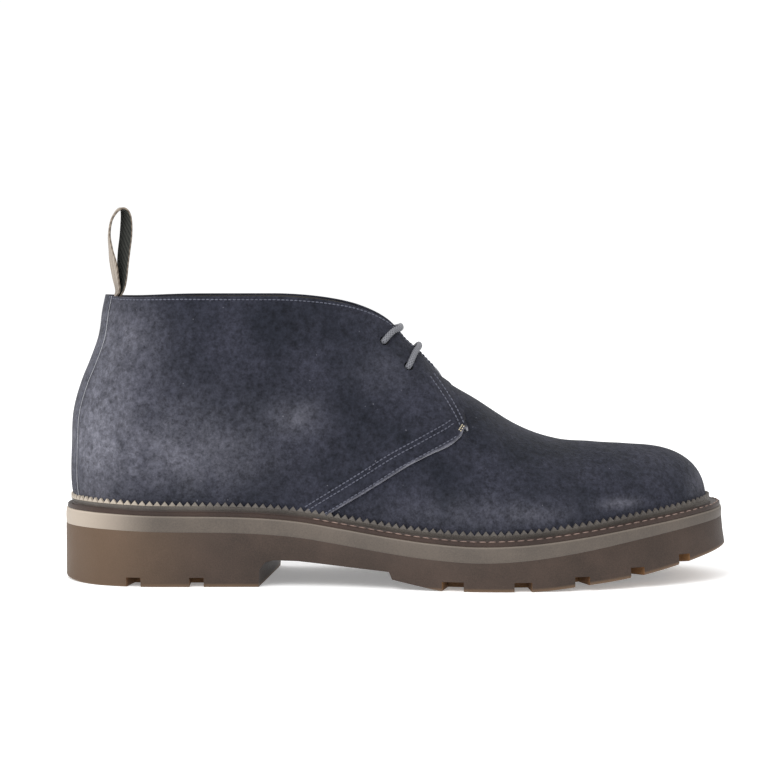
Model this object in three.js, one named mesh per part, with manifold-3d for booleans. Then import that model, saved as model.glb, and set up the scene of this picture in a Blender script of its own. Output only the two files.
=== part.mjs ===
// A chukka boot: one hollow suede upper on a lug sole, standing on the floor.
// Millimetres, +Z up, +X from the heel to the toe, -Y the outer side of a right foot.

import * as THREE from 'three';
import { mergeVertices } from 'three/addons/utils/BufferGeometryUtils.js';
import Module from 'manifold-3d';

const wasm = await Module();
wasm.setup();

// ---------------------------------------------------------------- driving sizes

const SOLE_LENGTH = 308.6;      // midsole, from the back of the heel to the tip of the toe
const WALL = 2.4;               // suede and lining together
const GAP = 0.3;                // clearance between pieces that meet
const COLUMNS = 72;             // around the plan outline, an even number
const ROWS = 14;                // up the wall of the upper

const RIB_HEIGHT = 6;           // upright rib of the storm welt, above the midsole
const RIB_THICKNESS = 1.5;
const FLANGE_THICKNESS = 2;
const FLANGE_SETBACK = 0.8;     // welt's outer edge inside the midsole's edge

const INSOLE_THICKNESS = 3;
const TONGUE_THICKNESS = 2;
const LACE_RADIUS = 1.4;
const EYELET_RADIUS = 2.8;
const RUN_DEPTH = WALL + GAP + LACE_RADIUS + 0.7;       // lace behind the facing, at its centre
const TONGUE_SHALLOW = WALL + 4 * GAP;                  // the same where it meets the vamp
const TONGUE_DEPTH = RUN_DEPTH + LACE_RADIUS + 3 * GAP; // face of the tongue inside the upper's

const LUG_DEPTH = 4.3;
const LUG_GAP_LENGTH = 15;      // how far an edge notch runs in from the outline
const LOOP_WIDTH = 10;

// ---------------------------------------------------------------- tables
// `at` is the distance along the sole from the back of the heel.

// Plan outline of the midsole: half widths on the outer and the inner side, and how far
// the outsole's bottom edge flares beyond it.
const PLAN = [
  { at: 0, outer: 0, inner: 0, flare: 0 },
  { at: 8, outer: 22, inner: 22, flare: 0 },
  { at: 20, outer: 33, inner: 33.5, flare: 0 },
  { at: 45, outer: 39, inner: 38.6, flare: 0.2 },
  { at: 80, outer: 38.5, inner: 36.4, flare: 0.4 },
  { at: 125, outer: 39.8, inner: 36.8, flare: 0.4 },
  { at: 160, outer: 48.6, inner: 44.5, flare: 0.6 },
  { at: 200, outer: 55.6, inner: 55, flare: 0.8 },
  { at: 235, outer: 51.8, inner: 55.4, flare: 1.2 },
  { at: 265, outer: 41, inner: 49.5, flare: 1.6 },
  { at: 290, outer: 26, inner: 38, flare: 1.6 },
  { at: 304, outer: 11.5, inner: 23.5, flare: 1.6 },
  { at: SOLE_LENGTH, outer: -6, inner: 6, flare: 1.6 },
];

// Side profile of the sole: underside, top of the midsole, and thickness of its band.
const PROFILE = [
  { at: 0, ground: 1, top: 33.4, band: 7.3 },
  { at: 12, ground: 0, top: 33.4, band: 7.3 },
  { at: 45, ground: 0, top: 32.5, band: 7.3 },
  { at: 90, ground: 0, top: 31.6, band: 7.3 },
  { at: 110, ground: 0, top: 29.9, band: 7.3 },
  { at: 130, ground: 0, top: 26.8, band: 7.3 },
  { at: 150, ground: 0, top: 23.8, band: 7.3 },
  { at: 170, ground: 0, top: 21.4, band: 7.3 },
  { at: 192, ground: 0, top: 20.2, band: 7.3 },
  { at: 214, ground: 0, top: 21, band: 7 },
  { at: 240, ground: 2.3, top: 24, band: 6.4 },
  { at: 265, ground: 5.4, top: 27.6, band: 5.6 },
  { at: 285, ground: 9.4, top: 30.4, band: 5 },
  { at: SOLE_LENGTH, ground: 15.2, top: 33.8, band: 4.7 },
];

// The upper, a row for each section from the heel back to the toe tip. inset: foot of the
// wall inside the midsole's edge. x, y, z: the top edge (collar, facing, then the ridge of
// the vamp where y is 0). belly and rise: outward and upward pull at the foot. spread and
// drop: how the wall arrives at the top, as a part of the way out to the foot, and down.
const UPPER = [
  { at: 0, inset: 5.2, x: 19.5, y: 0, z: 132.5, belly: 8.2, rise: 25, spread: 0.42, drop: 24.5 },
  { at: 20, inset: 4.8, x: 33, y: 22, z: 131.8, belly: 4, rise: 28, spread: 0.2, drop: 30 },
  { at: 55, inset: 4.8, x: 60, y: 32, z: 132.4, belly: 5, rise: 30, spread: 0.35, drop: 34 },
  { at: 95, inset: 5.6, x: 96, y: 33, z: 132.4, belly: 6, rise: 30, spread: 0.6, drop: 36 },
  { at: 125, inset: 6.4, x: 125, y: 26, z: 130.2, belly: 6, rise: 30, spread: 0.7, drop: 34 },
  { at: 145, inset: 7, x: 141.5, y: 18.5, z: 125.8, belly: 6, rise: 28, spread: 0.62, drop: 26 },
  { at: 158, inset: 7.4, x: 152, y: 14, z: 119.6, belly: 5.5, rise: 26, spread: 0.58, drop: 20 },
  { at: 170, inset: 7.6, x: 161.5, y: 12, z: 109.2, belly: 5, rise: 24, spread: 0.58, drop: 14 },
  { at: 181, inset: 7.8, x: 171, y: 9.5, z: 98.5, belly: 5, rise: 22, spread: 0.6, drop: 8 },
  { at: 190, inset: 8, x: 178.5, y: 0, z: 91.6, belly: 5, rise: 21, spread: 0.62, drop: 0 },
  { at: 205, inset: 8, x: 193, y: 0, z: 83.2, belly: 5, rise: 20, spread: 0.64, drop: 0 },
  { at: 225, inset: 8, x: 211, y: 0, z: 72, belly: 4.5, rise: 18, spread: 0.66, drop: 0 },
  { at: 250, inset: 8, x: 230, y: 0, z: 65, belly: 4, rise: 16, spread: 0.68, drop: 0 },
  { at: 272, inset: 7.8, x: 246, y: 0, z: 63.3, belly: 3, rise: 16, spread: 0.7, drop: 0 },
  { at: 294, inset: 7.6, x: 258.5, y: 0, z: 62.9, belly: 2, rise: 16, spread: 0.73, drop: 0 },
  { at: SOLE_LENGTH, inset: 7.4, x: 266, y: 0, z: 62.7, belly: 1.2, rise: 16, spread: 0.76, drop: 0 },
];
const THROAT_END = 190;         // the row of UPPER where the facings meet the vamp

// Underside of the waist, from the breast of the heel to the forefoot.
const ARCH = [
  { at: 92, z: -5 },
  { at: 92.5, z: 8 },
  { at: 95, z: 11.3 },
  { at: 99, z: 12.3 },
  { at: 110, z: 11.9 },
  { at: 130, z: 9.8 },
  { at: 152, z: 8 },
  { at: 153.5, z: 4.6 },
  { at: 163, z: 2.6 },
  { at: 171, z: 1 },
  { at: 177, z: 0 },
  { at: 177, z: -5 },
];
const BREAST_SKEW = -5.3;       // degrees, the inner side of the heel reaches further forward

// Notches between the edge lugs.
const NOTCHES = [
  { at: 34.9, length: 6.8 },
  { at: 63.8, length: 6.6 },
  { at: 180.3, length: 10 },
  { at: 211.8, length: 8 },
  { at: 238.5, length: 7 },
  { at: 264, length: 7 },
  { at: 286.5, length: 6.5 },
];

// Lugs inside the recessed middle of the sole, each a cross.
const CROSS_LUGS = [
  { at: 50, across: 26, along: 26 },
  { at: 200, across: 46, along: 18 },
  { at: 226, across: 42, along: 18 },
  { at: 252, across: 34, along: 16 },
];
const CROSS_ARM = 6.5;
const RECESSES = [
  { from: 20, to: 78, inset: 16, depth: 3.2 },
  { from: 184, to: 282, inset: 18, depth: 3.2 },
];

// Pull loop seen from the side: outline of the webbing from the collar round the top and
// back down to the tab inside the heel, then the hole.
const LOOP_OUTLINE = [
  { x: 23.4, z: 133.2 },
  { x: 22.4, z: 139.4 },
  { x: 20.6, z: 150 },
  { x: 20, z: 158.5 },
  { x: 21.4, z: 166.4 },
  { x: 24.4, z: 171.8 },
  { x: 27.7, z: 173.4 },
  { x: 30.8, z: 170.2 },
  { x: 31.6, z: 164.7 },
  { x: 30.6, z: 156 },
  { x: 28.6, z: 144.6 },
  { x: 27.2, z: 133.2 },
];
const LOOP_TAB = { top: 133, bottom: 119, thickness: 1.8, standoff: 1.3 };  // off the round heel
const LOOP_HOLE = [
  { x: 24.4, z: 148.4 },
  { x: 26.4, z: 151.6 },
  { x: 28.8, z: 158.6 },
  { x: 29.4, z: 164.8 },
  { x: 28.6, z: 169.4 },
  { x: 26.8, z: 171.2 },
  { x: 24.4, z: 169.2 },
  { x: 22.4, z: 164.6 },
  { x: 21.9, z: 158.4 },
  { x: 22.7, z: 151.8 },
];

// Eyelets: section of the upper, and height up its wall.
// How far the heel's back moves forward (or back, below zero) at each height.
const HEEL_CURVE = [
  { at: 40, shift: 0 },
  { at: 62, shift: -0.6 },
  { at: 78, shift: -1.8 },
  { at: 92, shift: -0.8 },
  { at: 102, shift: 0.6 },
  { at: 113, shift: 1.4 },
  { at: 124, shift: 0.3 },
  { at: 132, shift: 0 },
];
const HEEL_CURVE_END = 0.16;  // station where it has died away

const LACE_BEND = 1;         // how far in and out of an eyelet the lace runs straight
const FACING_EDGE = 0.985;  // share of the way up where the lace passes the facing's edge
// lead: how far forward of its eyelet the lace passes that edge.
const EYELETS = [
  { at: 152.7, up: 0.859, lead: 9 },
  { at: 165, up: 0.795, lead: 7 },
];

// ---------------------------------------------------------------- curves from the tables

// Smooth value of one column, flat wherever neighbouring rows are level. Sections that
// wrap round the heel and the toe also end level, so the two sides meet without a corner.
function read(rows, column, at, levelEnds = false) {
  const last = rows.length - 1;
  let i = 0;
  while (i < last - 1 && at > rows[i + 1].at) i += 1;
  const rise = (k) => (rows[k + 1][column] - rows[k][column]) / (rows[k + 1].at - rows[k].at);
  const slope = (k) => {
    if (levelEnds && (k === 0 || k === last)) return 0;
    if (k === 0) return rise(0);
    if (k === last) return rise(last - 1);
    const before = rise(k - 1);
    const after = rise(k);
    return before * after <= 0 ? 0 : (before + after) / 2;
  };
  const span = rows[i + 1].at - rows[i].at;
  const t = THREE.MathUtils.clamp((at - rows[i].at) / span, 0, 1);
  const a = rows[i][column];
  const b = rows[i + 1][column];
  const m = slope(i) * span;
  const n = slope(i + 1) * span;
  return a + t * m + t * t * (3 * (b - a) - 2 * m - n) + t * t * t * (m + n - 2 * (b - a));
}

// Stations 0..1 crowd towards the round ends, where the outline turns across the sole.
const stationOf = (at) => Math.acos(1 - (2 * at) / SOLE_LENGTH) / Math.PI;
const along = (station) => (SOLE_LENGTH * (1 - Math.cos(Math.PI * station))) / 2;
const byStation = (rows) => rows.map((row) => ({ ...row, at: stationOf(row.at) }));
const PLAN_S = byStation(PLAN);
const UPPER_S = byStation(UPPER);
const section = (column, station) => read(UPPER_S, column, station, column !== 'y');

// A turn runs 0..2: out along the outer side from the heel back, home along the inner side.
const stationAt = (turn) => {
  const wrapped = ((turn % 2) + 2) % 2;
  return wrapped <= 1 ? wrapped : 2 - wrapped;
};
const isOuter = (turn) => ((turn % 2) + 2) % 2 <= 1;

function edge(turn) {
  const station = stationAt(turn);
  const outer = isOuter(turn);
  const width = read(PLAN_S, outer ? 'outer' : 'inner', station);
  return new THREE.Vector2(along(station), outer ? -width : width);
}

function edgeNormal(turn) {
  const step = 1e-3;
  const way = edge(turn + step).sub(edge(turn - step)).normalize();
  return new THREE.Vector2(way.y, -way.x);
}

const outline = (turn, inset) => edge(turn).addScaledVector(edgeNormal(turn), -inset);
const topOf = (x) => read(PROFILE, 'top', THREE.MathUtils.clamp(x, 0, SOLE_LENGTH));
const bandOf = (x) => read(PROFILE, 'band', THREE.MathUtils.clamp(x, 0, SOLE_LENGTH));
const groundOf = (x) => read(PROFILE, 'ground', THREE.MathUtils.clamp(x, 0, SOLE_LENGTH));

// ---------------------------------------------------------------- the surface of the upper

const throatStation = stationOf(THROAT_END);

// Outer face of the upper: turn around the foot, up from the welt (0) to the top edge (1).
function wall(turn, up) {
  const station = stationAt(turn);
  const side = isOuter(turn) ? -1 : 1;
  const row = (column) => section(column, station);
  const normal = edgeNormal(turn);
  const footPlan = outline(turn, row('inset'));
  const footZ = topOf(footPlan.x) + GAP;
  const top = new THREE.Vector3(row('x'), station >= throatStation ? 0 : side * row('y'), row('z'));
  const reach = row('spread');
  const outX = (footPlan.x - top.x) * reach;
  const outY = (footPlan.y - top.y) * reach;
  const ridge = station >= throatStation ? ridgeSlope(station) : 0;
  const foot = new THREE.Vector3(footPlan.x, footPlan.y, footZ);
  const low = new THREE.Vector3(
    footPlan.x + normal.x * row('belly'), footPlan.y + normal.y * row('belly'), footZ + row('rise'));
  const high = new THREE.Vector3(top.x + outX, top.y + outY, top.z + ridge * outX - row('drop'));
  const point = new THREE.CubicBezierCurve3(foot, low, high, top).getPoint(up);
  const atHeel = 1 - THREE.MathUtils.smoothstep(station, 0, HEEL_CURVE_END);
  point.x += atHeel * read(HEEL_CURVE, 'shift', THREE.MathUtils.clamp(point.z, 40, 132));
  return point;
}

function ridgeSlope(station) {
  const step = 1e-3;
  const a = Math.max(station - step, throatStation);
  const b = Math.min(station + step, 1);
  return (section('z', b) - section('z', a)) / (section('x', b) - section('x', a));
}

const onRidge = (turn, up) => up >= 1 && stationAt(turn) >= throatStation - 1e-9;

function wallNormal(turn, up) {
  if (onRidge(turn, up)) return new THREE.Vector3(-ridgeSlope(stationAt(turn)), 0, 1).normalize();
  if (up <= 0) {
    const level = edgeNormal(turn);
    return new THREE.Vector3(level.x, level.y, 0);
  }
  const step = 1e-3;
  const around = wall(turn + step, up).sub(wall(turn - step, up));
  const rising = wall(turn, Math.min(up + step, 1)).sub(wall(turn, Math.max(up - step, 0)));
  return around.cross(rising).normalize();
}

// A point at some depth inside the outer face (negative depth lies outside).
const inWall = (turn, up, depth) => wall(turn, up).addScaledVector(wallNormal(turn, up), -depth);

// How far up the wall a given height above the midsole is reached.
function upAtHeight(turn, height) {
  let low = 0;
  let high = 1;
  for (let i = 0; i < 24; i += 1) {
    const middle = (low + high) / 2;
    if (wall(turn, middle).z - wall(turn, 0).z < height) low = middle;
    else high = middle;
  }
  return low;
}

// ---------------------------------------------------------------- closed meshes

class Shell {
  constructor() {
    this.positions = [];
    this.index = [];
  }

  point(p) {
    this.positions.push(p.x, p.y, p.z);
    return this.positions.length / 3 - 1;
  }

  quad(a, b, c, d) {
    this.triangle(a, b, c);
    this.triangle(a, c, d);
  }

  triangle(a, b, c) {
    if (a !== b && b !== c && a !== c) this.index.push(a, b, c);
  }

  geometry() {
    const geometry = new THREE.BufferGeometry();
    geometry.setAttribute('position', new THREE.Float32BufferAttribute(this.positions, 3));
    geometry.setIndex(this.index);
    geometry.computeVertexNormals();
    return geometry;
  }
}

// Closed ring or tube from loops of points: each loop joins the next, the last the first.
function ringOf(sections) {
  const shell = new Shell();
  const ids = sections.map((section) => section.map((p) => shell.point(p)));
  ids.forEach((section, k) => {
    const next = ids[(k + 1) % ids.length];
    section.forEach((id, j) => {
      const up = (j + 1) % section.length;
      shell.quad(id, next[j], next[up], section[up]);
    });
  });
  return shell.geometry();
}

// Solid slab between two loops that share their order around the outline.
function slabOf(low, high) {
  const shell = new Shell();
  const n = low.length;
  const a = low.map((p) => shell.point(p));
  const b = high.map((p) => shell.point(p));
  for (let k = 0; k < n; k += 1) {
    const next = (k + 1) % n;
    shell.quad(a[k], a[next], b[next], b[k]);
  }
  for (let k = 0; k < n / 2; k += 1) {
    const across = (n - k) % n;
    const acrossNext = n - k - 1;
    shell.quad(b[k], b[k + 1], b[acrossNext], b[across]);
    shell.quad(a[k], a[across], a[acrossNext], a[k + 1]);
  }
  return shell.geometry();
}

const turns = Array.from({ length: COLUMNS }, (_, k) => (2 * k) / COLUMNS);

function loopAt(insetOf, heightOf) {
  return turns.map((turn) => {
    const p = outline(turn, insetOf(turn));
    return new THREE.Vector3(p.x, p.y, heightOf(p.x));
  });
}

function solidOf(geometry) {
  const bare = geometry.clone();
  bare.deleteAttribute('normal');
  bare.deleteAttribute('uv');
  const merged = mergeVertices(bare, 1e-4);
  return new wasm.Manifold(new wasm.Mesh({
    numProp: 3,
    vertProperties: new Float32Array(merged.attributes.position.array),
    triVerts: new Uint32Array(merged.index.array),
  }));
}

function geometryOf(solid) {
  const mesh = solid.getMesh();
  const geometry = new THREE.BufferGeometry();
  geometry.setAttribute('position', new THREE.Float32BufferAttribute(mesh.vertProperties, 3));
  geometry.setIndex(Array.from(mesh.triVerts));
  geometry.computeVertexNormals();
  return geometry;
}

// ---------------------------------------------------------------- the pieces

// A flat side view (x, z) pulled out across the boot, centred on its mid-plane.
function sideExtrusion(shape, width) {
  const geometry = new THREE.ExtrudeGeometry(shape, { depth: width, bevelEnabled: false, curveSegments: 3 });
  return geometry.translate(0, 0, -width / 2).rotateX(Math.PI / 2);
}

function box(lengthX, lengthY, lengthZ, centre, angle = 0) {
  return new THREE.BoxGeometry(lengthX, lengthY, lengthZ).rotateZ(angle).translate(centre.x, centre.y, centre.z);
}

function crossLug(lug) {
  const centre = new THREE.Vector3(lug.at, 0, 0);
  const tall = 60;
  return solidOf(box(lug.along, CROSS_ARM, tall, centre)).add(solidOf(box(CROSS_ARM, lug.across, tall, centre)));
}

function recessCutter({ from, to, inset, depth }) {
  const well = slabOf(loopAt(() => inset, () => -5), loopAt(() => inset, (x) => groundOf(x) + depth));
  const stretch = box(to - from, 200, 200, new THREE.Vector3((from + to) / 2, 0, 0));
  return CROSS_LUGS.reduce((left, lug) => left.subtract(crossLug(lug)), solidOf(well).intersect(solidOf(stretch)));
}

function notchCutter({ at, length }, side) {
  const turn = side < 0 ? stationOf(at) : 2 - stationOf(at);
  const rim = outline(turn, -4);
  const normal = edgeNormal(turn);
  const reach = LUG_GAP_LENGTH + 4;
  const tall = 40;
  const centre = new THREE.Vector3(
    rim.x - normal.x * (reach / 2), rim.y - normal.y * (reach / 2), groundOf(at) + LUG_DEPTH - tall / 2);
  return solidOf(box(reach, length, tall, centre, Math.atan2(normal.y, normal.x)));
}

function archCutter() {
  const shape = new THREE.Shape(ARCH.map((row) => new THREE.Vector2(row.at, row.z)));
  const middle = ARCH[0].at;
  return solidOf(sideExtrusion(shape, 160).translate(-middle, 0, 0)
    .rotateZ(THREE.MathUtils.degToRad(BREAST_SKEW)).translate(middle + 3.5, 0, 0));
}

function outsole() {
  const flare = (turn) => -read(PLAN_S, 'flare', stationAt(turn));
  const block = slabOf(
    loopAt(flare, groundOf),
    loopAt(() => 0, (x) => topOf(x) - bandOf(x) - GAP));
  let solid = solidOf(block).subtract(archCutter());
  RECESSES.forEach((recess) => {
    solid = solid.subtract(recessCutter(recess));
  });
  NOTCHES.forEach((notch) => {
    solid = solid.subtract(notchCutter(notch, -1)).subtract(notchCutter(notch, 1));
  });
  return geometryOf(solid);
}

function midsole() {
  return slabOf(loopAt(() => 0, (x) => topOf(x) - bandOf(x)), loopAt(() => 0, topOf));
}

// L-shaped section: a flange on the midsole and a rib that stands against the upper.
function welt() {
  return ringOf(turns.map((turn) => {
    const normal = edgeNormal(turn);
    const onMidsole = (p, up) => new THREE.Vector3(p.x, p.y, topOf(p.x) + GAP + up);
    const rim = outline(turn, FLANGE_SETBACK);
    const inner = wall(turn, 0);
    const innerTop = inWall(turn, upAtHeight(turn, RIB_HEIGHT), -GAP);
    const away = (p, distance) => new THREE.Vector2(p.x + normal.x * distance, p.y + normal.y * distance);
    const ribTop = away(innerTop, RIB_THICKNESS);
    const ribFoot = away(inner, GAP + RIB_THICKNESS + 0.2);
    return [
      onMidsole(away(inner, GAP), 0),
      onMidsole(rim, 0),
      onMidsole(rim, FLANGE_THICKNESS),
      onMidsole(ribFoot, FLANGE_THICKNESS),
      new THREE.Vector3(ribTop.x, ribTop.y, innerTop.z),
      innerTop,
    ];
  }));
}

function insole() {
  const inset = (turn) => section('inset', stationAt(turn)) + WALL + 2 * GAP;
  return slabOf(
    loopAt(inset, (x) => topOf(x) + GAP),
    loopAt(inset, (x) => topOf(x) + GAP + INSOLE_THICKNESS));
}

// One hollow wall: outer face, inner face, the rim under it and the rim of collar and throat.
function upperWall() {
  const shell = new Shell();
  const column = (depth) => turns.map((turn) => (
    Array.from({ length: ROWS + 1 }, (_, j) => shell.point(inWall(turn, j / ROWS, depth)))));
  const outer = column(0);
  const inner = column(WALL);
  turns.forEach((turn, k) => {
    if (turn > 1 && onRidge(turn, 1)) {
      outer[k][ROWS] = outer[COLUMNS - k][ROWS];
      inner[k][ROWS] = inner[COLUMNS - k][ROWS];
    }
  });
  turns.forEach((turn, k) => {
    const next = (k + 1) % COLUMNS;
    for (let j = 0; j < ROWS; j += 1) {
      shell.quad(outer[k][j], outer[next][j], outer[next][j + 1], outer[k][j + 1]);
      shell.quad(inner[k][j], inner[k][j + 1], inner[next][j + 1], inner[next][j]);
    }
    shell.quad(outer[k][0], inner[k][0], inner[next][0], outer[next][0]);
    const closed = onRidge(turn, 1) && onRidge(turns[next], 1);
    if (!closed) shell.quad(outer[k][ROWS], outer[next][ROWS], inner[next][ROWS], inner[k][ROWS]);
  });
  return shell.geometry();
}

function upper() {
  let solid = solidOf(upperWall());
  EYELETS.forEach((eyelet) => {
    [-1, 1].forEach((side) => {
      const { point, normal } = eyeletAt(eyelet, side);
      const hole = new THREE.CylinderGeometry(EYELET_RADIUS, EYELET_RADIUS, 4 * WALL, 12);
      hole.applyQuaternion(new THREE.Quaternion().setFromUnitVectors(new THREE.Vector3(0, 1, 0), normal));
      hole.translate(point.x, point.y, point.z);
      solid = solid.subtract(solidOf(hole));
    });
  });
  return geometryOf(solid);
}

function eyeletAt({ at, up }, side) {
  const turn = side < 0 ? stationOf(at) : 2 - stationOf(at);
  return { turn, point: wall(turn, up), normal: wallNormal(turn, up) };
}

// ---------------------------------------------------------------- tongue

const TONGUE = { from: 150, to: 200, reach: 0.36, sections: 14, across: 16 };
const TONGUE_FULL_WIDTH = 34;   // of the opening that takes the whole width of the tongue
const TONGUE_PULL = 22;         // how high the tongue arches where it is widest
const TONGUE_LOW = 0.96;        // share of the way up that gives the tongue's arch its slope
const TONGUE_RISE = { from: 172, to: 188 };  // where it comes up to the vamp

function tongueDepth(at) {
  const risen = THREE.MathUtils.smoothstep(at, TONGUE_RISE.from, TONGUE_RISE.to);
  return THREE.MathUtils.lerp(TONGUE_DEPTH, TONGUE_SHALLOW, risen);
}

// Across the tongue -1..1: under the facings at both sides, arched freely over the throat.
function tonguePoint(at, across, depth) {
  const station = stationOf(at);
  const halfOpening = station >= throatStation ? 0 : section('y', station) / TONGUE_FULL_WIDTH;
  const sideTurn = (side) => (side < 0 ? station : 2 - station);
  const beyond = Math.abs(across) - halfOpening;
  if (beyond >= 0) {
    const up = 1 - (beyond / (1 - halfOpening)) * TONGUE.reach;
    return inWall(sideTurn(across < 0 ? -1 : 1), up, depth);
  }
  const ends = [-1, 1].map((side) => inWall(sideTurn(side), 1, depth));
  const pulls = [-1, 1].map((side, i) => {
    const low = inWall(sideTurn(side), TONGUE_LOW, depth);
    return ends[i].clone().sub(low).setLength(halfOpening * TONGUE_PULL);
  });
  const arch = new THREE.CubicBezierCurve3(
    ends[0], ends[0].clone().add(pulls[0]), ends[1].clone().add(pulls[1]), ends[1]);
  return arch.getPoint((across / halfOpening + 1) / 2);
}

function tongue() {
  const shell = new Shell();
  const { from, to, sections, across } = TONGUE;
  const sheet = (behind) => Array.from({ length: sections + 1 }, (_, i) => {
    const at = from + ((to - from) * i) / sections;
    return Array.from({ length: across + 1 }, (_unused, j) => (
      shell.point(tonguePoint(at, (2 * j) / across - 1, tongueDepth(at) + behind))));
  });
  const face = sheet(0);
  const back = sheet(TONGUE_THICKNESS);
  for (let i = 0; i < sections; i += 1) {
    for (let j = 0; j < across; j += 1) {
      shell.quad(face[i][j], face[i + 1][j], face[i + 1][j + 1], face[i][j + 1]);
      shell.quad(back[i][j], back[i][j + 1], back[i + 1][j + 1], back[i + 1][j]);
    }
    shell.quad(face[i][0], back[i][0], back[i + 1][0], face[i + 1][0]);
    shell.quad(face[i][across], face[i + 1][across], back[i + 1][across], back[i][across]);
  }
  for (let j = 0; j < across; j += 1) {
    shell.quad(face[0][j], face[0][j + 1], back[0][j + 1], back[0][j]);
    shell.quad(face[sections][j], back[sections][j], back[sections][j + 1], face[sections][j + 1]);
  }
  return shell.geometry();
}

// ---------------------------------------------------------------- lace and pull loop

// Over one eyelet: up through the hole and slantwise to the facing's edge.
function laceOverFacing(eyelet, side) {
  const { point, normal } = eyeletAt(eyelet, side);
  const clear = LACE_RADIUS + 3 * GAP;
  const onTheWay = (share) => {
    const station = stationOf(eyelet.at + eyelet.lead * share);
    const up = THREE.MathUtils.lerp(eyelet.up, FACING_EDGE, share);
    return inWall(side < 0 ? station : 2 - station, up, -clear);
  };
  return [
    point.clone().addScaledVector(normal, -LACE_BEND),
    point.clone().addScaledVector(normal, LACE_BEND),
    onTheWay(0.2),
    onTheWay(0.6),
    onTheWay(1),
  ];
}

function laceBar(pair, fromSide) {
  const near = laceOverFacing(pair, fromSide);
  const far = laceOverFacing(pair, -fromSide).reverse();
  const crown = near.at(-1).clone().add(far[0]).multiplyScalar(0.5);
  return [...near, crown.add(new THREE.Vector3(1.2, 0, 1.6)), ...far];
}

// Two bars over the throat. The second starts where a hidden run brings the lace down
// behind the inner facing, and both ends stop just inside the outer eyelets.
function lacePath() {
  const [upperPair, lowerPair] = EYELETS;
  const hidden = (share) => {
    const mix = (key) => upperPair[key] + (lowerPair[key] - upperPair[key]) * share;
    return inWall(2 - stationOf(mix('at')), mix('up'), RUN_DEPTH);
  };
  const stub = (pair) => inWall(stationOf(pair.at), pair.up, RUN_DEPTH);
  return [
    stub(upperPair),
    ...laceBar(upperPair, -1),
    ...[0.2, 0.5, 0.8].map(hidden),
    ...laceBar(lowerPair, 1),
    stub(lowerPair),
  ];
}

function lace() {
  const curve = new THREE.CatmullRomCurve3(lacePath(), false, 'centripetal');
  const round = new THREE.Shape().absarc(0, 0, LACE_RADIUS, 0, 2 * Math.PI);
  return new THREE.ExtrudeGeometry(round, { steps: 110, extrudePath: curve, curveSegments: 4 });
}

const sidePoints = (rows) => rows.map((row) => new THREE.Vector2(row.x, row.z));
const openPath = (rows, count) => new THREE.SplineCurve(sidePoints(rows)).getPoints(count);

function closedPath(rows, count) {
  const points = rows.map((row) => new THREE.Vector3(row.x, row.z, 0));
  const loop = new THREE.CatmullRomCurve3(points, true).getPoints(count).slice(0, -1);
  return loop.map((p) => new THREE.Vector2(p.x, p.y));
}

function pullLoop() {
  const { top, bottom, thickness, standoff } = LOOP_TAB;
  const tabX = (z) => {
    let up = 1;
    while (wall(0, up).z > z) up -= 0.002;
    return inWall(0, up, WALL + standoff).x;
  };
  const levels = [top, (top + bottom) / 2, bottom];
  const shape = new THREE.Shape([
    ...openPath(LOOP_OUTLINE, 26),
    ...levels.map((z) => new THREE.Vector2(tabX(z) + thickness, z)),
    ...levels.reverse().map((z) => new THREE.Vector2(tabX(z), z)),
  ]);
  shape.holes.push(new THREE.Path(closedPath(LOOP_HOLE, 20)));
  return sideExtrusion(shape, LOOP_WIDTH);
}

// ---------------------------------------------------------------- assembly

const boot = new THREE.Group();

function addPiece(name, geometry, color, roughness) {
  const mesh = new THREE.Mesh(geometry, new THREE.MeshStandardMaterial({ color, roughness, metalness: 0 }));
  mesh.name = name;
  boot.add(mesh);
}

addPiece('outsole', outsole(), 0x564a44, 0.7);
addPiece('midsole', midsole(), 0x8a8078, 0.6);
addPiece('welt', welt(), 0x5a4a42, 0.6);
addPiece('insole', insole(), 0xa08a72, 0.7);
addPiece('upper', upper(), 0x3a3c48, 0.95);
addPiece('tongue', tongue(), 0x34363f, 0.95);
addPiece('pull_loop', pullLoop(), 0x8a8078, 0.85);
addPiece('lace', lace(), 0x808080, 0.85);

// Origin at the centre of the box on the floor.
const extent = new THREE.Box3().setFromObject(boot);
boot.position.set(-(extent.min.x + extent.max.x) / 2, -(extent.min.y + extent.max.y) / 2, -extent.min.z);

export default boot;
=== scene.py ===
# %% [markdown]
# # A suede chukka boot
# The boot is built the way a bootmaker builds it: a lug sole, a midsole band, a storm
# welt, then the upper's panels drawn over the last. A few short tables in millimetres
# describe the last and the sole, and every piece below is worked out from them, so the
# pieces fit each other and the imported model.

import math

import bmesh
import bpy
import numpy as np
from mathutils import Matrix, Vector


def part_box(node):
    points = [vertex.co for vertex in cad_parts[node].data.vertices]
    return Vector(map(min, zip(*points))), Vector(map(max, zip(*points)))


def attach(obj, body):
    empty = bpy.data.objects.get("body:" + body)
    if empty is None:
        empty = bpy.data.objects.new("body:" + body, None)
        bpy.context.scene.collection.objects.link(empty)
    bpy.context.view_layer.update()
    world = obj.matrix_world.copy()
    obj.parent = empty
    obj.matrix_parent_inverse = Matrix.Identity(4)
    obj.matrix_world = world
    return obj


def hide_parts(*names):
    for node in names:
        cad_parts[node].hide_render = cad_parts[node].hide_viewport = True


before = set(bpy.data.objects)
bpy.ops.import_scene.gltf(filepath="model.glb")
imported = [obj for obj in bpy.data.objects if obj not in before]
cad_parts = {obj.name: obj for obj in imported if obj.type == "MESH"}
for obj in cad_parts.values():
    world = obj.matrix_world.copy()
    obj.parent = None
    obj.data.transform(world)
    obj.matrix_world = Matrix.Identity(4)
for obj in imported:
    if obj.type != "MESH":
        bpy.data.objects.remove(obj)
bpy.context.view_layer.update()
print("packed model:", sorted(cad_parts))

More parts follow.
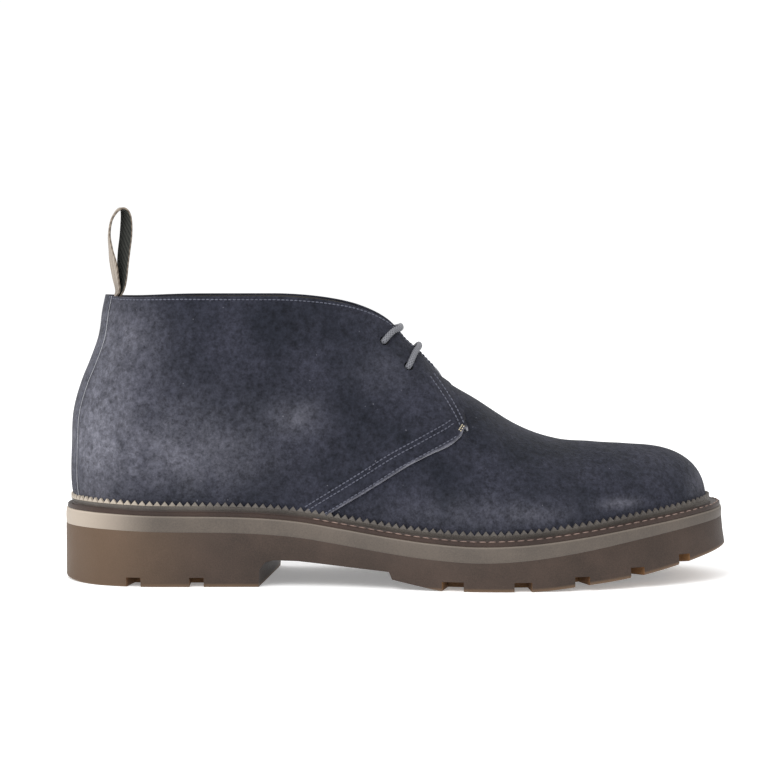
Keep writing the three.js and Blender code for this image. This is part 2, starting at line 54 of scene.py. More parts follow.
# %% [markdown]
# ## Sizes
# A shoe can be modelled by pulling a mesh about by eye, or from measured sections, as a
# last maker works. Sections are used here: a changed number moves every piece that
# depends on it. `at` is the distance along the sole from the back of the heel, in
# millimetres. Every table has one row for each section.

# %% Sizes and tables
SOLE_LENGTH = 308.6
GAP = 0.3
SUEDE = 1.2
LINING = 1.0
RIB_HEIGHT = 6.0
RIB_THICKNESS = 1.5
FLANGE_THICKNESS = 2.0
FLANGE_SETBACK = 0.8
THROAT_END = 190
print("sole length, mm:", SOLE_LENGTH, "- suede:", SUEDE, "- lining:", LINING)

# %% [markdown]
# ## The sole's tables
# `PLAN` gives the half widths on the outer and the inner side of the foot and how far the
# bottom edge flares out. `PROFILE` gives the heights of the underside and of the midsole's
# top, and the band's thickness. Both bend a right foot's way: fuller on the outer side at
# the ball, and with the toe drawn towards the inner side.

# %% Tables of the sole
def table(columns, *rows):
    return [dict(zip(columns.split(), row)) for row in rows]


PLAN = table(
    "at outer inner flare",
    (0, 0, 0, 0),
    (8, 22, 22, 0),
    (20, 33, 33.5, 0),
    (45, 39, 38.6, 0.2),
    (80, 38.5, 36.4, 0.4),
    (125, 39.8, 36.8, 0.4),
    (160, 48.6, 44.5, 0.6),
    (200, 55.6, 55, 0.8),
    (235, 51.8, 55.4, 1.2),
    (265, 41, 49.5, 1.6),
    (290, 26, 38, 1.6),
    (304, 11.5, 23.5, 1.6),
    (SOLE_LENGTH, -6, 6, 1.6),
)

PROFILE = table(
    "at ground top band",
    (0, 1, 33.4, 7.3),
    (12, 0, 33.4, 7.3),
    (45, 0, 32.5, 7.3),
    (90, 0, 31.6, 7.3),
    (110, 0, 29.9, 7.3),
    (130, 0, 26.8, 7.3),
    (150, 0, 23.8, 7.3),
    (170, 0, 21.4, 7.3),
    (192, 0, 20.2, 7.3),
    (214, 0, 21, 7),
    (240, 2.3, 24, 6.4),
    (265, 5.4, 27.6, 5.6),
    (285, 9.4, 30.4, 5),
    (SOLE_LENGTH, 15.2, 33.8, 4.7),
)

print(len(PLAN), "rows of outline,", len(PROFILE), "rows of profile")

# %% [markdown]
# ## The upper's table
# Each row is one section of the last. `inset` places its foot inside the midsole's edge.
# `x y z` is its top, at the collar, the throat or the vamp's ridge. The other columns
# shape the curve between them: how far it bellies out low down, and how it leans in.
# `HEEL_CURVE` shifts the heel's back line at each height, because a heel seen from the
# side is an S and not a straight line.

# %% Tables of the upper
UPPER = table(
    "at inset x y z belly rise spread drop",
    (0, 5.2, 19.5, 0, 132.5, 8.2, 25, 0.42, 24.5),
    (20, 4.8, 33, 22, 131.8, 4, 28, 0.2, 30),
    (55, 4.8, 60, 32, 132.4, 5, 30, 0.35, 34),
    (95, 5.6, 96, 33, 132.4, 6, 30, 0.6, 36),
    (125, 6.4, 125, 26, 130.2, 6, 30, 0.7, 34),
    (145, 7, 141.5, 18.5, 125.8, 6, 28, 0.62, 26),
    (158, 7.4, 152, 14, 119.6, 5.5, 26, 0.58, 20),
    (170, 7.6, 161.5, 12, 109.2, 5, 24, 0.58, 14),
    (181, 7.8, 171, 9.5, 98.5, 5, 22, 0.6, 8),
    (190, 8, 178.5, 0, 91.6, 5, 21, 0.62, 0),
    (205, 8, 193, 0, 83.2, 5, 20, 0.64, 0),
    (225, 8, 211, 0, 72, 4.5, 18, 0.66, 0),
    (250, 8, 230, 0, 65, 4, 16, 0.68, 0),
    (272, 7.8, 246, 0, 63.3, 3, 16, 0.7, 0),
    (294, 7.6, 258.5, 0, 62.9, 2, 16, 0.73, 0),
    (SOLE_LENGTH, 7.4, 266, 0, 62.7, 1.2, 16, 0.76, 0),
)

HEEL_CURVE = table(
    "at shift",
    (40, 0),
    (62, -0.6),
    (78, -1.8),
    (92, -0.8),
    (102, 0.6),
    (113, 1.4),
    (124, 0.3),
    (132, 0),
)
HEEL_CURVE_END = 0.16
print(len(UPPER), "sections of the upper,", len(HEEL_CURVE), "heights of the heel")

# %% [markdown]
# ## Curves through the rows
# Straight lines between the rows would leave corners in the leather, and a free spline
# would swing past them. The curve here is a cubic that is level where the values turn
# around, so it never bulges past a row. Sections are spaced by the cosine of the station,
# which puts many of them at the heel and the toe, where the outline turns fast.

# %% Curves through the tables
def station_of(at):
    return np.arccos(1 - 2 * np.asarray(at, float) / SOLE_LENGTH) / math.pi


def along(station):
    return SOLE_LENGTH * (1 - np.cos(math.pi * station)) / 2


def read(rows, column, at, level_ends=False):
    knots = np.array([row["at"] for row in rows], float)
    values = np.array([row[column] for row in rows], float)
    rise = np.diff(values) / np.diff(knots)
    slope = np.zeros(len(knots))
    level = rise[:-1] * rise[1:] <= 0
    slope[1:-1] = np.where(level, 0, (rise[:-1] + rise[1:]) / 2)
    if not level_ends:
        slope[0], slope[-1] = rise[0], rise[-1]
    at = np.clip(at, knots[0], knots[-1])
    i = np.clip(np.searchsorted(knots, at, side="right") - 1, 0, len(knots) - 2)
    span = knots[i + 1] - knots[i]
    t = (at - knots[i]) / span
    a, b = values[i], values[i + 1]
    m, n = slope[i] * span, slope[i + 1] * span
    return a + t * m + t**2 * (3 * (b - a) - 2 * m - n) + t**3 * (m + n - 2 * (b - a))


def by_station(rows):
    return [{**row, "at": float(station_of(row["at"]))} for row in rows]


PLAN_S = by_station(PLAN)
UPPER_S = by_station(UPPER)
THROAT = float(station_of(THROAT_END))
print("the throat ends at station", round(THROAT, 3))


def section(column, station):
    return read(UPPER_S, column, station, level_ends=column != "y")

# %% [markdown]
# ## The sole's outline
# `turn` goes once around the foot: 0 at the back of the heel, 1 at the tip of the toe, 2
# back at the heel. The outer side is the first half. `outline` moves the outline in by a
# distance along its own normal, as a pattern cutter does for a seam allowance.

# %% The outline and the heights of the sole
def smooth_step(value, low, high):
    t = np.clip((value - low) / (high - low), 0, 1)
    return t * t * (3 - 2 * t)


def stack(*parts):
    return np.stack(np.broadcast_arrays(*parts), axis=-1)


def station_at(turn):
    turn = np.mod(turn, 2)
    return np.where(turn <= 1, turn, 2 - turn)


def on_side(turn, side):
    """The turn of a station on the outer side (-1) or on the inner side (1)."""
    return turn if side < 0 else 2 - turn


def edge(turn):
    turn = np.mod(turn, 2)
    station = station_at(turn)
    outer = -read(PLAN_S, "outer", station)
    inner = read(PLAN_S, "inner", station)
    return stack(along(station), np.where(turn <= 1, outer, inner))


def unit(vectors):
    return vectors / np.linalg.norm(vectors, axis=-1, keepdims=True)


def edge_normal(turn):
    way = unit(edge(turn + 1e-3) - edge(turn - 1e-3))
    return stack(way[..., 1], -way[..., 0])


def outline(turn, inset):
    return edge(turn) - edge_normal(turn) * np.asarray(inset)[..., None]


def top_of(x):
    return read(PROFILE, "top", np.clip(x, 0, SOLE_LENGTH))


def band_of(x):
    return read(PROFILE, "band", np.clip(x, 0, SOLE_LENGTH))


def ground_of(x):
    return read(PROFILE, "ground", np.clip(x, 0, SOLE_LENGTH))


sole_outline = edge(np.linspace(0, 2, 2001))
print("widest, mm:", np.ptp(sole_outline[:, 1]).round(1))

# %% [markdown]
# ## The last
# One function gives any point of the upper's outer face: `turn` goes once around the
# foot (0 at the heel back, 1 at the toe tip, 2 back at the heel) and `up` goes from the
# welt (0) to the top edge (1). Each section is a Bezier curve, the way a shoe last is
# drawn from a few measured sections. On the vamp the two sides meet in a level ridge, so
# the instep is round and not creased.


# %% The surface of the upper
def bezier(t, a, b, c, d):
    return (1 - t) ** 3 * a + 3 * (1 - t) ** 2 * t * b + 3 * (1 - t) * t**2 * c + t**3 * d


def ridge_slope(station):
    a = np.maximum(station - 1e-3, THROAT)
    b = np.minimum(station + 1e-3, 1)
    return (section("z", b) - section("z", a)) / (section("x", b) - section("x", a))


def wall(turn, up):
    turn, up = np.broadcast_arrays(np.mod(turn, 2).astype(float), np.asarray(up, float))
    station = station_at(turn)
    side = np.where(turn <= 1, -1.0, 1.0)
    foot_plan = outline(turn, section("inset", station))
    normal = edge_normal(turn)
    foot_z = top_of(foot_plan[..., 0]) + GAP
    on_vamp = station >= THROAT - 1e-9
    top_y = np.where(on_vamp, 0, side * section("y", station))
    top = stack(section("x", station), top_y, section("z", station))
    out = (foot_plan - top[..., :2]) * section("spread", station)[..., None]
    slope = np.where(on_vamp, ridge_slope(np.maximum(station, THROAT)), 0)
    belly = section("belly", station)[..., None]
    foot = np.concatenate([foot_plan, foot_z[..., None]], axis=-1)
    low_z = (foot_z + section("rise", station))[..., None]
    low = np.concatenate([foot_plan + normal * belly, low_z], axis=-1)
    high_z = (top[..., 2] + slope * out[..., 0] - section("drop", station))[..., None]
    high = np.concatenate([top[..., :2] + out, high_z], axis=-1)
    point = bezier(up[..., None], foot, low, high, top)
    at_heel = 1 - smooth_step(station, 0, HEEL_CURVE_END)
    point[..., 0] += at_heel * read(HEEL_CURVE, "shift", point[..., 2])
    return point


def wall_normal(turn, up):
    turn, up = np.broadcast_arrays(np.asarray(turn, float), np.asarray(up, float))
    around = wall(turn + 1e-3, up) - wall(turn - 1e-3, up)
    rising = wall(turn, np.minimum(up + 1e-3, 1)) - wall(turn, np.maximum(up - 1e-3, 0))
    normal = unit(np.cross(around, rising))
    station = station_at(turn)
    slope = ridge_slope(np.maximum(station, THROAT))
    ridge = unit(stack(-slope, np.zeros_like(slope), np.ones_like(slope)))
    on_ridge = (up >= 1) & (station >= THROAT - 1e-9)
    return np.where(on_ridge[..., None], ridge, normal)


print("height of the collar at the heel, mm:", wall(0.0, 1.0)[2].round(1))

# %% [markdown]
# ## Folds and hollows
# Worn suede isn't as even as the last: it waves by a few tenths of a millimetre, and it
# creases across the vamp, where the foot bends. A bump in the material would not show in
# outline, so the folds are in the points themselves. Each crease is a soft groove along a
# line in side view.

# %% Creases
CREASES = table(
    "x z x2 z2 deep wide",
    (192, 66, 200, 46, 0.45, 2.2),
    (203, 60, 211, 44, 0.3, 2.4),
    (176, 60, 186, 42, 0.25, 3.0),
    (95, 116, 128, 104, 0.25, 6.0),
    (60, 62, 96, 70, 0.3, 9.0),
)


def relief(points):
    """Millimetres that the worn suede stands above (or below) the last."""
    x, y, z = points[..., 0], points[..., 1], points[..., 2]
    total = 0.16 * np.sin(x / 9 + z / 14 + 1) + 0.12 * np.sin(x / 15 - z / 8 + y / 20)
    total = total + 0.08 * np.sin(x / 6 + y / 11 - z / 17 + 2)
    for row in CREASES:
        start = np.array([row["x"], row["z"]])
        way = np.array([row["x2"], row["z2"]]) - start
        away = stack(x, z) - start
        share = np.clip(away @ way / (way @ way), 0, 1)
        far = np.linalg.norm(away - share[..., None] * way, axis=-1)
        total = total - row["deep"] * np.exp(-((far / row["wide"]) ** 2))
    ends = smooth_step(z, 38, 52) * (1 - smooth_step(z, 118, 130))
    return total * ends


def lifted(turn, up, lift):
    base = wall(turn, up)
    return base + wall_normal(turn, up) * (lift + relief(base))[..., None]


def up_at_height(turn, height):
    low, high = np.zeros_like(turn), np.ones_like(turn)
    for _ in range(24):
        middle = (low + high) / 2
        below = wall(turn, middle)[..., 2] - wall(turn, 0)[..., 2] < height
        low, high = np.where(below, middle, low), np.where(below, high, middle)
    return low


print(len(CREASES), "creases, the deepest", max(row["deep"] for row in CREASES), "mm")

# %% [markdown]
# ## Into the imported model's frame
# The tables start at the back of the midsole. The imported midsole's own box says where that
# is in the shared frame, so no distance is copied by hand.

# %% Millimetres to the shared frame
MM = 0.001
midsole_low, midsole_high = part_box("midsole")
widest_inner = sole_outline[:, 1].max()
SHIFT = np.array([midsole_low.x / MM, midsole_high.y / MM - widest_inner, 0])
print("sole tables start at (mm):", SHIFT.round(3))


def place(points):
    return (np.asarray(points, float) + SHIFT) * MM

# %% [markdown]
# ## Meshes
# Most pieces are grids of points: rows up, columns around. `build` turns points and
# faces into an object. Its points are already in place, so the object stays at the
# origin, unturned and unscaled, and patterns on Object coordinates don't slide.


# %% Mesh helpers
def build(name, points, faces, materials, face_materials=None, sharp=35):
    mesh = bpy.data.meshes.new(name)
    mesh.from_pydata(place(points).tolist(), [], [tuple(face) for face in faces])
    for material in materials:
        mesh.materials.append(material)
    if face_materials is not None:
        mesh.polygons.foreach_set("material_index", np.asarray(face_materials, np.int32))
    piece = bpy.data.objects.new(name, mesh)
    bpy.context.scene.collection.objects.link(piece)
    finish_shading(piece, sharp)
    return piece


def finish_shading(piece, sharp):
    piece.data.shade_smooth()
    piece.data.set_sharp_from_angle(angle=math.radians(sharp))
    piece.data.update()


def face_outward(piece):
    work = bmesh.new()
    work.from_mesh(piece.data)
    bmesh.ops.recalc_face_normals(work, faces=work.faces)
    work.to_mesh(piece.data)
    work.free()


def weld(piece, distance=1e-6, sharp=35):
    work = bmesh.new()
    work.from_mesh(piece.data)
    bmesh.ops.remove_doubles(work, verts=work.verts, dist=distance)
    work.to_mesh(piece.data)
    work.free()
    finish_shading(piece, sharp)

# %% [markdown]
# ## Grids, marks and counts
# A 2-D array of point numbers becomes quads in one step. A mark is one number for each
# point, such as how rubbed the suede is there, and a material can read it. Counting
# triangles and open edges shows at once if a piece is too heavy or has a hole.

# %% Grids, marks and counts
def grid(ids, flip=False):
    """Quads over a 2-D array of vertex numbers."""
    a, b, c, d = ids[:-1, :-1], ids[:-1, 1:], ids[1:, 1:], ids[1:, :-1]
    quads = np.stack([a, b, c, d], axis=-1).reshape(-1, 4)
    return quads[:, ::-1] if flip else quads


def mark(piece, name, values):
    """Stores one number for each point, for a material to read."""
    layer = piece.data.attributes.new(name, "FLOAT", "POINT")
    layer.data.foreach_set("value", np.asarray(values, np.float32).ravel())


def points_of(piece):
    """The mesh's points in the tables' millimetres."""
    return np.array([vertex.co for vertex in piece.data.vertices]) / MM - SHIFT


def triangle_count(piece):
    piece.data.calc_loop_triangles()
    return len(piece.data.loop_triangles)


def open_edges(piece):
    work = bmesh.new()
    work.from_mesh(piece.data)
    count = sum(len(one.link_faces) != 2 for one in work.edges)
    work.free()
    return count


def settle(piece, node):
    """Rides with the boot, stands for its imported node, and says its size."""
    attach(piece, "root")
    if node:
        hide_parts(node)
    print(f"{piece.name}: {triangle_count(piece)} triangles, {open_edges(piece)} open edges")
    return piece

# %% [markdown]
# ## Slabs and tubes
# Soles are stacks of outlines, so `slab` joins loops of points and closes both ends with
# a ladder of quads, which stays flat where a fan of triangles would pinch. `tube` sweeps
# a ring along a path. The ring is carried from point to point without twist, and its map
# runs around and along it, so that a braid can follow it round a bend.

# %% Slabs and tubes
def slab(name, levels, materials):
    """A solid from stacked loops of points, closed below and above by a ladder of quads."""
    count = len(levels[0])
    points = np.concatenate(levels)
    ids = np.arange(len(points)).reshape(len(levels), count)
    sides = grid(np.concatenate([ids, ids[:, :1]], axis=1))
    half = np.arange(count // 2)
    near, far = half, (count - half) % count
    ladder = np.stack([near, near + 1, count - half - 1, far], axis=-1)
    caps = [ids[-1][ladder], ids[0][ladder][:, ::-1]]
    faces = [tuple(dict.fromkeys(face)) for face in np.concatenate([sides, *caps]).tolist()]
    return build(name, points, faces, materials)


def tube(name, path, radius, sides, materials):
    """A round cord along a list of points, with a UV map that runs round and along it."""
    path = np.asarray(path, float)
    tangent = unit(np.gradient(path, axis=0))
    across = [unit(np.cross(tangent[0], [0, 0, 1.0]))]
    for way in tangent[1:]:
        last = across[-1]
        across.append(unit(last - way * np.dot(last, way)))
    across = np.array(across)
    other = np.cross(tangent, across)
    angle = np.linspace(0, 2 * math.pi, sides, endpoint=False)[None, :, None]
    rings = path[:, None] + radius * (
        np.cos(angle) * across[:, None] + np.sin(angle) * other[:, None]
    )
    ids = np.arange(rings[..., 0].size).reshape(rings.shape[:2])
    faces = [tuple(f) for f in grid(np.concatenate([ids, ids[:, :1]], axis=1))]
    faces += [tuple(ids[0][::-1]), tuple(ids[-1])]
    piece = build(name, rings.reshape(-1, 3), faces, materials, sharp=60)
    length = np.concatenate([[0], np.cumsum(np.linalg.norm(np.diff(path, axis=0), axis=1))])
    layer = piece.data.uv_layers.new(name="UVMap")
    for polygon in piece.data.polygons:
        columns = [piece.data.loops[i].vertex_index % sides for i in polygon.loop_indices]
        wrapped = len(columns) == 4 and max(columns) - min(columns) > 1
        for loop, column in zip(polygon.loop_indices, columns):
            ring = piece.data.loops[loop].vertex_index // sides
            around = (column or sides) if wrapped else column
            layer.data[loop].uv = (around / sides, length[ring] / (2 * math.pi * radius))
    return piece

# %% [markdown]
# ## Materials
# Colours are sRGB hex values turned to linear light by one function. `add` puts a node
# in a material with its settings and its links, and `per_mm` turns a real size, such as
# a grain's width, into the scale of a pattern.


# %% Material helpers
def colour(code):
    channels = [int(code[i : i + 2], 16) / 255 for i in (0, 2, 4)]
    linear = [c / 12.92 if c <= 0.04045 else ((c + 0.055) / 1.055) ** 2.4 for c in channels]
    return (*linear, 1)


def first_output(node):
    return next(output for output in node.outputs if output.enabled)


def add(tree, kind, **words):
    """Adds a node. A word in small letters is a setting, any other word is an input.

    A node or socket as value is linked, and a list fills inputs of the same name.
    """
    node = tree.nodes.new(kind)
    for word, value in words.items():
        if word[0].islower():
            setattr(node, word, value)
    for word, value in words.items():
        if word[0].islower():
            continue
        name = word.replace("_", " ")
        sockets = [socket for socket in node.inputs if socket.name == name and socket.enabled]
        for socket, one in zip(sockets, value if isinstance(value, list) else [value]):
            if isinstance(one, bpy.types.Node):
                tree.links.new(first_output(one), socket)
            elif isinstance(one, bpy.types.NodeSocket):
                tree.links.new(one, socket)
            else:
                socket.default_value = one
    return node


def per_mm(size):
    """Pattern scale, in Object coordinates, for features of that many millimetres."""
    return 1 / (size * MM)


def start_material(name, **shader_values):
    """A material, its tree, its shader and the Object coordinates its patterns read."""
    material = bpy.data.materials.new(name)
    material.use_nodes = True
    tree = material.node_tree
    shader = tree.nodes["Principled BSDF"]
    for word, value in shader_values.items():
        shader.inputs[word.replace("_", " ")].default_value = value
    spot = add(tree, "ShaderNodeTexCoord").outputs["Object"]
    return material, tree, shader, spot


def finish_material(tree, shader, paint, height, relief):
    """Links the colour, and a bump whose full height is relief millimetres."""
    tree.links.new(first_output(paint), shader.inputs["Base Color"])
    normal = add(tree, "ShaderNodeBump", Height=height, Distance=relief * MM)
    tree.links.new(normal.outputs["Normal"], shader.inputs["Normal"])


print("white, linear:", colour("FFFFFF"), "- a 1 mm grain has scale", per_mm(1))

# %% [markdown]
# ## Navy calf suede
# Suede is the split side of the hide, brushed to a nap of fibres under a millimetre long.
# Hair particles could grow that nap, but they would be lost in the exported mesh. Instead
# four sizes of noise are laid over each other: slow clouds where the hand has turned the
# nap (26 mm), blotches (9 mm), clumps of fibres (2.6 mm) and the fibres' tips (1.1 mm,
# coarser than real so that they show). A mark adds pale patches: partly rubbed suede, and
# partly painted light where the lamp falls on the heel and the toe.

# %% Suede
def make_suede():
    # Calf suede, dyed navy and brushed: short matt fibres that scatter light, darker
    # where they lie flat and pale where they stand up or are rubbed.
    material, tree, shader, spot = start_material(
        "navy_calf_suede",
        Roughness=0.95,
        Specular_IOR_Level=0.12,
        Sheen_Weight=0.06,
        Sheen_Roughness=0.5,
    )
    cloud = add(tree, "ShaderNodeTexNoise", Vector=spot, Scale=per_mm(26), Detail=5, Roughness=0.6)
    blotch = add(tree, "ShaderNodeTexNoise", Vector=spot, Scale=per_mm(9), Detail=5, Roughness=0.65)
    nap = add(tree, "ShaderNodeTexNoise", Vector=spot, Scale=per_mm(1.1), Detail=4, Roughness=0.8)
    clump = add(tree, "ShaderNodeTexNoise", Vector=spot, Scale=per_mm(2.6), Detail=3, Roughness=0.6)
    # Pale patches from the mark: partly rubbed suede, partly painted light on the heel and the toe.
    bloom = add(tree, "ShaderNodeAttribute", attribute_name="bloom").outputs["Fac"]
    tone = add(tree, "ShaderNodeMapRange", Value=cloud, From_Min=0.36, From_Max=0.66)
    deep = add(
        tree, "ShaderNodeMix", data_type="RGBA", Factor=tone, A=colour("1E2028"),
        B=colour("2E2F39"),
    )
    broken = add(
        tree, "ShaderNodeMapRange", Value=blotch, From_Min=0.3, From_Max=0.7, To_Min=0.55,
        To_Max=1.4,
    )
    pale = add(tree, "ShaderNodeMath", operation="MULTIPLY", use_clamp=True, Value=[bloom, broken])
    rubbed_and_lit = add(tree, "ShaderNodeMix", data_type="RGBA", Factor=pale, A=deep, B=colour("73737D"))
    grain = add(tree, "ShaderNodeMath", operation="ADD", Value=[nap, clump])
    shade = add(
        tree, "ShaderNodeMapRange", Value=grain, From_Min=0.75, From_Max=1.25, To_Min=0.52,
        To_Max=1.48,
    )
    fibre = add(
        tree, "ShaderNodeMix", data_type="RGBA", blend_type="MULTIPLY", Factor=1.0, A=rubbed_and_lit,
        B=shade,
    )
    speck = add(tree, "ShaderNodeTexNoise", Vector=spot, Scale=per_mm(1.7), Detail=1)
    lint = add(tree, "ShaderNodeMapRange", Value=speck, From_Min=0.79, From_Max=0.82, To_Max=0.35)
    paint = add(tree, "ShaderNodeMix", data_type="RGBA", Factor=lint, A=fibre, B=colour("9A9AA3"))
    finish_material(tree, shader, paint, grain, 0.35)
    return material


suede = make_suede()
print("made", suede.name, "with", len(suede.node_tree.nodes), "nodes")

# %% [markdown]
# ## Rubber, leather and thread
# These have one thing in common: two close tones in a fine grain, with a slow drift from
# place to place. One recipe makes them all. What tells them apart is the colour, the
# size and height of the grain, and how they shine. Some also take a paler colour by a
# mark: painted light on the heel and a painted highlight on the midsole's top edge, and a
# paler ground edge on the outsole.

# %% One recipe for grained stuffs
def make_grained(name, dark, light, grain, relief, roughness, wear=None, **shader_values):
    # One stuff in two close tones, with a grain of that many millimetres, and a slow
    # drift of tone over 20 mm, as moulded rubber, leather and thread have.
    material, tree, shader, spot = start_material(name, Roughness=roughness, **shader_values)
    fine = add(
        tree, "ShaderNodeTexNoise", Vector=spot, Scale=per_mm(grain), Detail=4, Roughness=0.65
    )
    slow = add(tree, "ShaderNodeTexNoise", Vector=spot, Scale=per_mm(20), Detail=3)
    both = add(tree, "ShaderNodeMath", operation="ADD", Value=[fine, slow])
    tone = add(tree, "ShaderNodeMapRange", Value=both, From_Min=0.75, From_Max=1.25)
    paint = add(
        tree, "ShaderNodeMix", data_type="RGBA", Factor=tone, A=colour(dark), B=colour(light)
    )
    # The mark's paler colour: painted light on the heel, and a paler ground edge on the outsole.
    if wear:
        rubbed_and_lit = add(tree, "ShaderNodeAttribute", attribute_name="wear").outputs["Fac"]
        paint = add(tree, "ShaderNodeMix", data_type="RGBA", Factor=rubbed_and_lit, A=paint, B=colour(wear))
    finish_material(tree, shader, paint, fine, relief)
    return material

# %% [markdown]
# ## The boot's own stuffs
# Each line is one finish of the boot, named for what it is made of. Dark rubber would
# look grey under so much white light, so both rubbers keep their reflections low.

# %% Rubber, leather and thread
RUBBER_SHINE = {"Specular_IOR_Level": 0.35}
# Cut edge of suede: undyed fibre, pale and fuzzy, made paler still as a painted highlight.
suede_edge = make_grained("raw_suede_edge", "7C7D84", "B2B3B8", 0.5, 0.15, 0.95)
# Drum-dyed calf, smooth side out: a low even sheen inside the boot.
lining = make_grained("dark_calf_lining", "25221F", "322E2A", 0.9, 0.05, 0.55)
# Vegetable-tanned leather: warm tan with a fine pore.
sock = make_grained("leather_sock", "7C6045", "8E7153", 0.9, 0.05, 0.5)
# Moulded crepe-like rubber, taupe, with a paler colour for painted light at the heel's end and a
# painted highlight along the top edge.
band_rubber = make_grained(
    "taupe_band_rubber", "4C453F", "5C534B", 0.7, 0.06, 0.55, wear="C6B8A8", **RUBBER_SHINE
)
# Moulded brown rubber with the mould's sandblasted skin: matt, with a paler colour near the ground
# edge and for painted light on the heel.
sole_rubber = make_grained(
    "brown_sole_rubber", "2E231C", "40322A", 0.6, 0.12, 0.6, wear="7D6349", **RUBBER_SHINE
)
# The same rubber inside the notches, in a lighter honey brown.
cut_rubber = make_grained("cut_sole_rubber", "5E4128", "82603C", 0.7, 0.12, 0.65)
# Greased split leather of the rib: grey-brown, with a paler colour that paints light on the teeth
# at the heel.
rib_leather = make_grained("greased_rib", "46413D", "5D5751", 0.6, 0.08, 0.55, wear="BCB0A0")
# Waxed leather of the flange: dark brown with little shine.
flange_leather = make_grained(
    "brown_flange", "2A1E19", "3A2B24", 0.6, 0.05, 0.5, Specular_IOR_Level=0.3
)
# Threads: waxed linen on the welt, polyester on the upper, and a pale one for bartacks.
thread_pink = make_grained("waxed_linen_thread", "745F57", "917A70", 0.4, 0.05, 0.6)
thread_navy = make_grained("navy_polyester_thread", "3E404D", "565967", 0.4, 0.05, 0.5)
thread_cream = make_grained("cream_bartack_thread", "B0A384", "D8CDB2", 0.4, 0.05, 0.6)
print("threads:", thread_pink.name, thread_navy.name, thread_cream.name)

# %% [markdown]
# ## Webbing
# The pull loop is woven tape, taupe on its face and black on its back. A wave texture
# across the tape's own map gives the slanted ribs of a twill, and the same wave lifts
# them, so that the ribs follow the tape round its bends.

# %% Webbing
def make_webbing(name, dark, light):
    # Woven cotton webbing: a fine twill, 0.9 mm from rib to rib. The ribs run across a
    # map stored on the strip, along and across it in millimetres.
    material, tree, shader, _ = start_material(name, Roughness=0.9, Specular_IOR_Level=0.2)
    strip = add(tree, "ShaderNodeAttribute", attribute_name="strip").outputs["Vector"]
    twill = add(
        tree, "ShaderNodeTexWave", Vector=strip, bands_direction="DIAGONAL", Scale=0.22,
        Distortion=1.2,
        Detail=2, Detail_Scale=2.0,
    )
    paint = add(
        tree, "ShaderNodeMix", data_type="RGBA", Factor=twill.outputs["Fac"], A=colour(dark),
        B=colour(light),
    )
    finish_material(tree, shader, paint, twill.outputs["Fac"], 0.15)
    return material


webbing_out = make_webbing("taupe_webbing", "857C72", "A89E93")
webbing_in = make_webbing("black_webbing", "262725", "3C3D39")
webbing_edge = make_webbing("webbing_edge", "5E544B", "83786C")
print("webbing:", webbing_out.name, webbing_in.name, webbing_edge.name)

# %% [markdown]
# ## Lace cord
# A round lace is a braid: half its strands wind one way and half the other, and each
# passes over the next. Strands could be modelled one by one, but at 2.8 mm across they
# are finer than can be seen. Two sine waves that wind in opposite ways around the cord's
# map, with the higher of the two on top, give the same pattern of lozenges.

# %% Lace cord
def make_lace_cord():
    # A round waxed cotton lace: a tight braid of 12 strands with a low, soft shine. Two
    # sets of strands wind in opposite ways around the cord's own map.
    material, tree, shader, _ = start_material(
        "waxed_cotton_cord", Roughness=0.5, Specular_IOR_Level=0.4
    )
    split = add(tree, "ShaderNodeSeparateXYZ", Vector=add(tree, "ShaderNodeTexCoord").outputs["UV"])
    strands = 6
    waves = []
    for way in (1, -1):
        along_part = add(
            tree, "ShaderNodeMath", operation="MULTIPLY", Value=[split.outputs["Y"], way * 1.1]
        )
        wound = add(tree, "ShaderNodeMath", operation="ADD", Value=[split.outputs["X"], along_part])
        angle = add(
            tree, "ShaderNodeMath", operation="MULTIPLY", Value=[wound, 2 * math.pi * strands]
        )
        waves.append(add(tree, "ShaderNodeMath", operation="SINE", Value=[angle]))
    braid = add(tree, "ShaderNodeMath", operation="MAXIMUM", Value=waves)
    tone = add(tree, "ShaderNodeMapRange", Value=braid, From_Min=-0.6, From_Max=1)
    paint = add(
        tree, "ShaderNodeMix", data_type="RGBA", Factor=tone, A=colour("4E4F54"),
        B=colour("74757B"),
    )
    finish_material(tree, shader, paint, braid, 0.12)
    return material


lace_cord = make_lace_cord()
print("made", lace_cord.name)

# %% [markdown]
# ## Sole
# The outsole is one block of rubber: the outline, pulled up from the ground curve to
# the midsole. Cutters then take away the arch, the notches between the lugs and the
# wells in its underside, as the mould does.
#
# `ARCH` is the hollow in front of the heel, in side view. Each notch has its place along
# the edge and its length. The wells leave a rim and a few cross-shaped lugs standing.

# %% Outsole tables
ARCH = table(
    "at z",
    (92, -5),
    (92.5, 8),
    (95, 11.3),
    (99, 12.3),
    (110, 11.9),
    (130, 9.8),
    (152, 8),
    (153.5, 4.6),
    (163, 2.6),
    (171, 1),
    (177, 0),
    (177, -5),
)
BREAST_SKEW = -5.3
LUG_DEPTH = 4.3
LUG_GAP_LENGTH = 15
NOTCHES = table(
    "at length",
    (34.9, 6.8),
    (63.8, 6.6),
    (180.3, 10),
    (211.8, 8),
    (238.5, 7),
    (264, 7),
    (286.5, 6.5),
)
CROSS_LUGS = table("at across along", (50, 26, 26), (200, 46, 18), (226, 42, 18), (252, 34, 16))
CROSS_ARM = 6.5
RECESSES = table("start end inset depth", (20, 78, 16, 3.2), (184, 282, 18, 3.2))
ARM_HEIGHT = 60
ARCH_FORWARD = 3.5
ARCH_HALF_WIDTH = 80
AROUND = 360
sole_turns = np.arange(AROUND) * 2 / AROUND
print(2 * len(NOTCHES), "notches,", len(CROSS_LUGS), "cross lugs,", len(RECESSES), "wells")

# %% [markdown]
# ## Blocks and booleans
# A notch could be modelled into the sole's mesh by hand, but a boolean keeps the block
# and its cutters apart until the end, so each has its own simple shape. The exact solver
# is slower than the float one, and it copes with faces that touch. The new faces take the
# cutter's material, so the raw rubber inside a notch needs no painting.

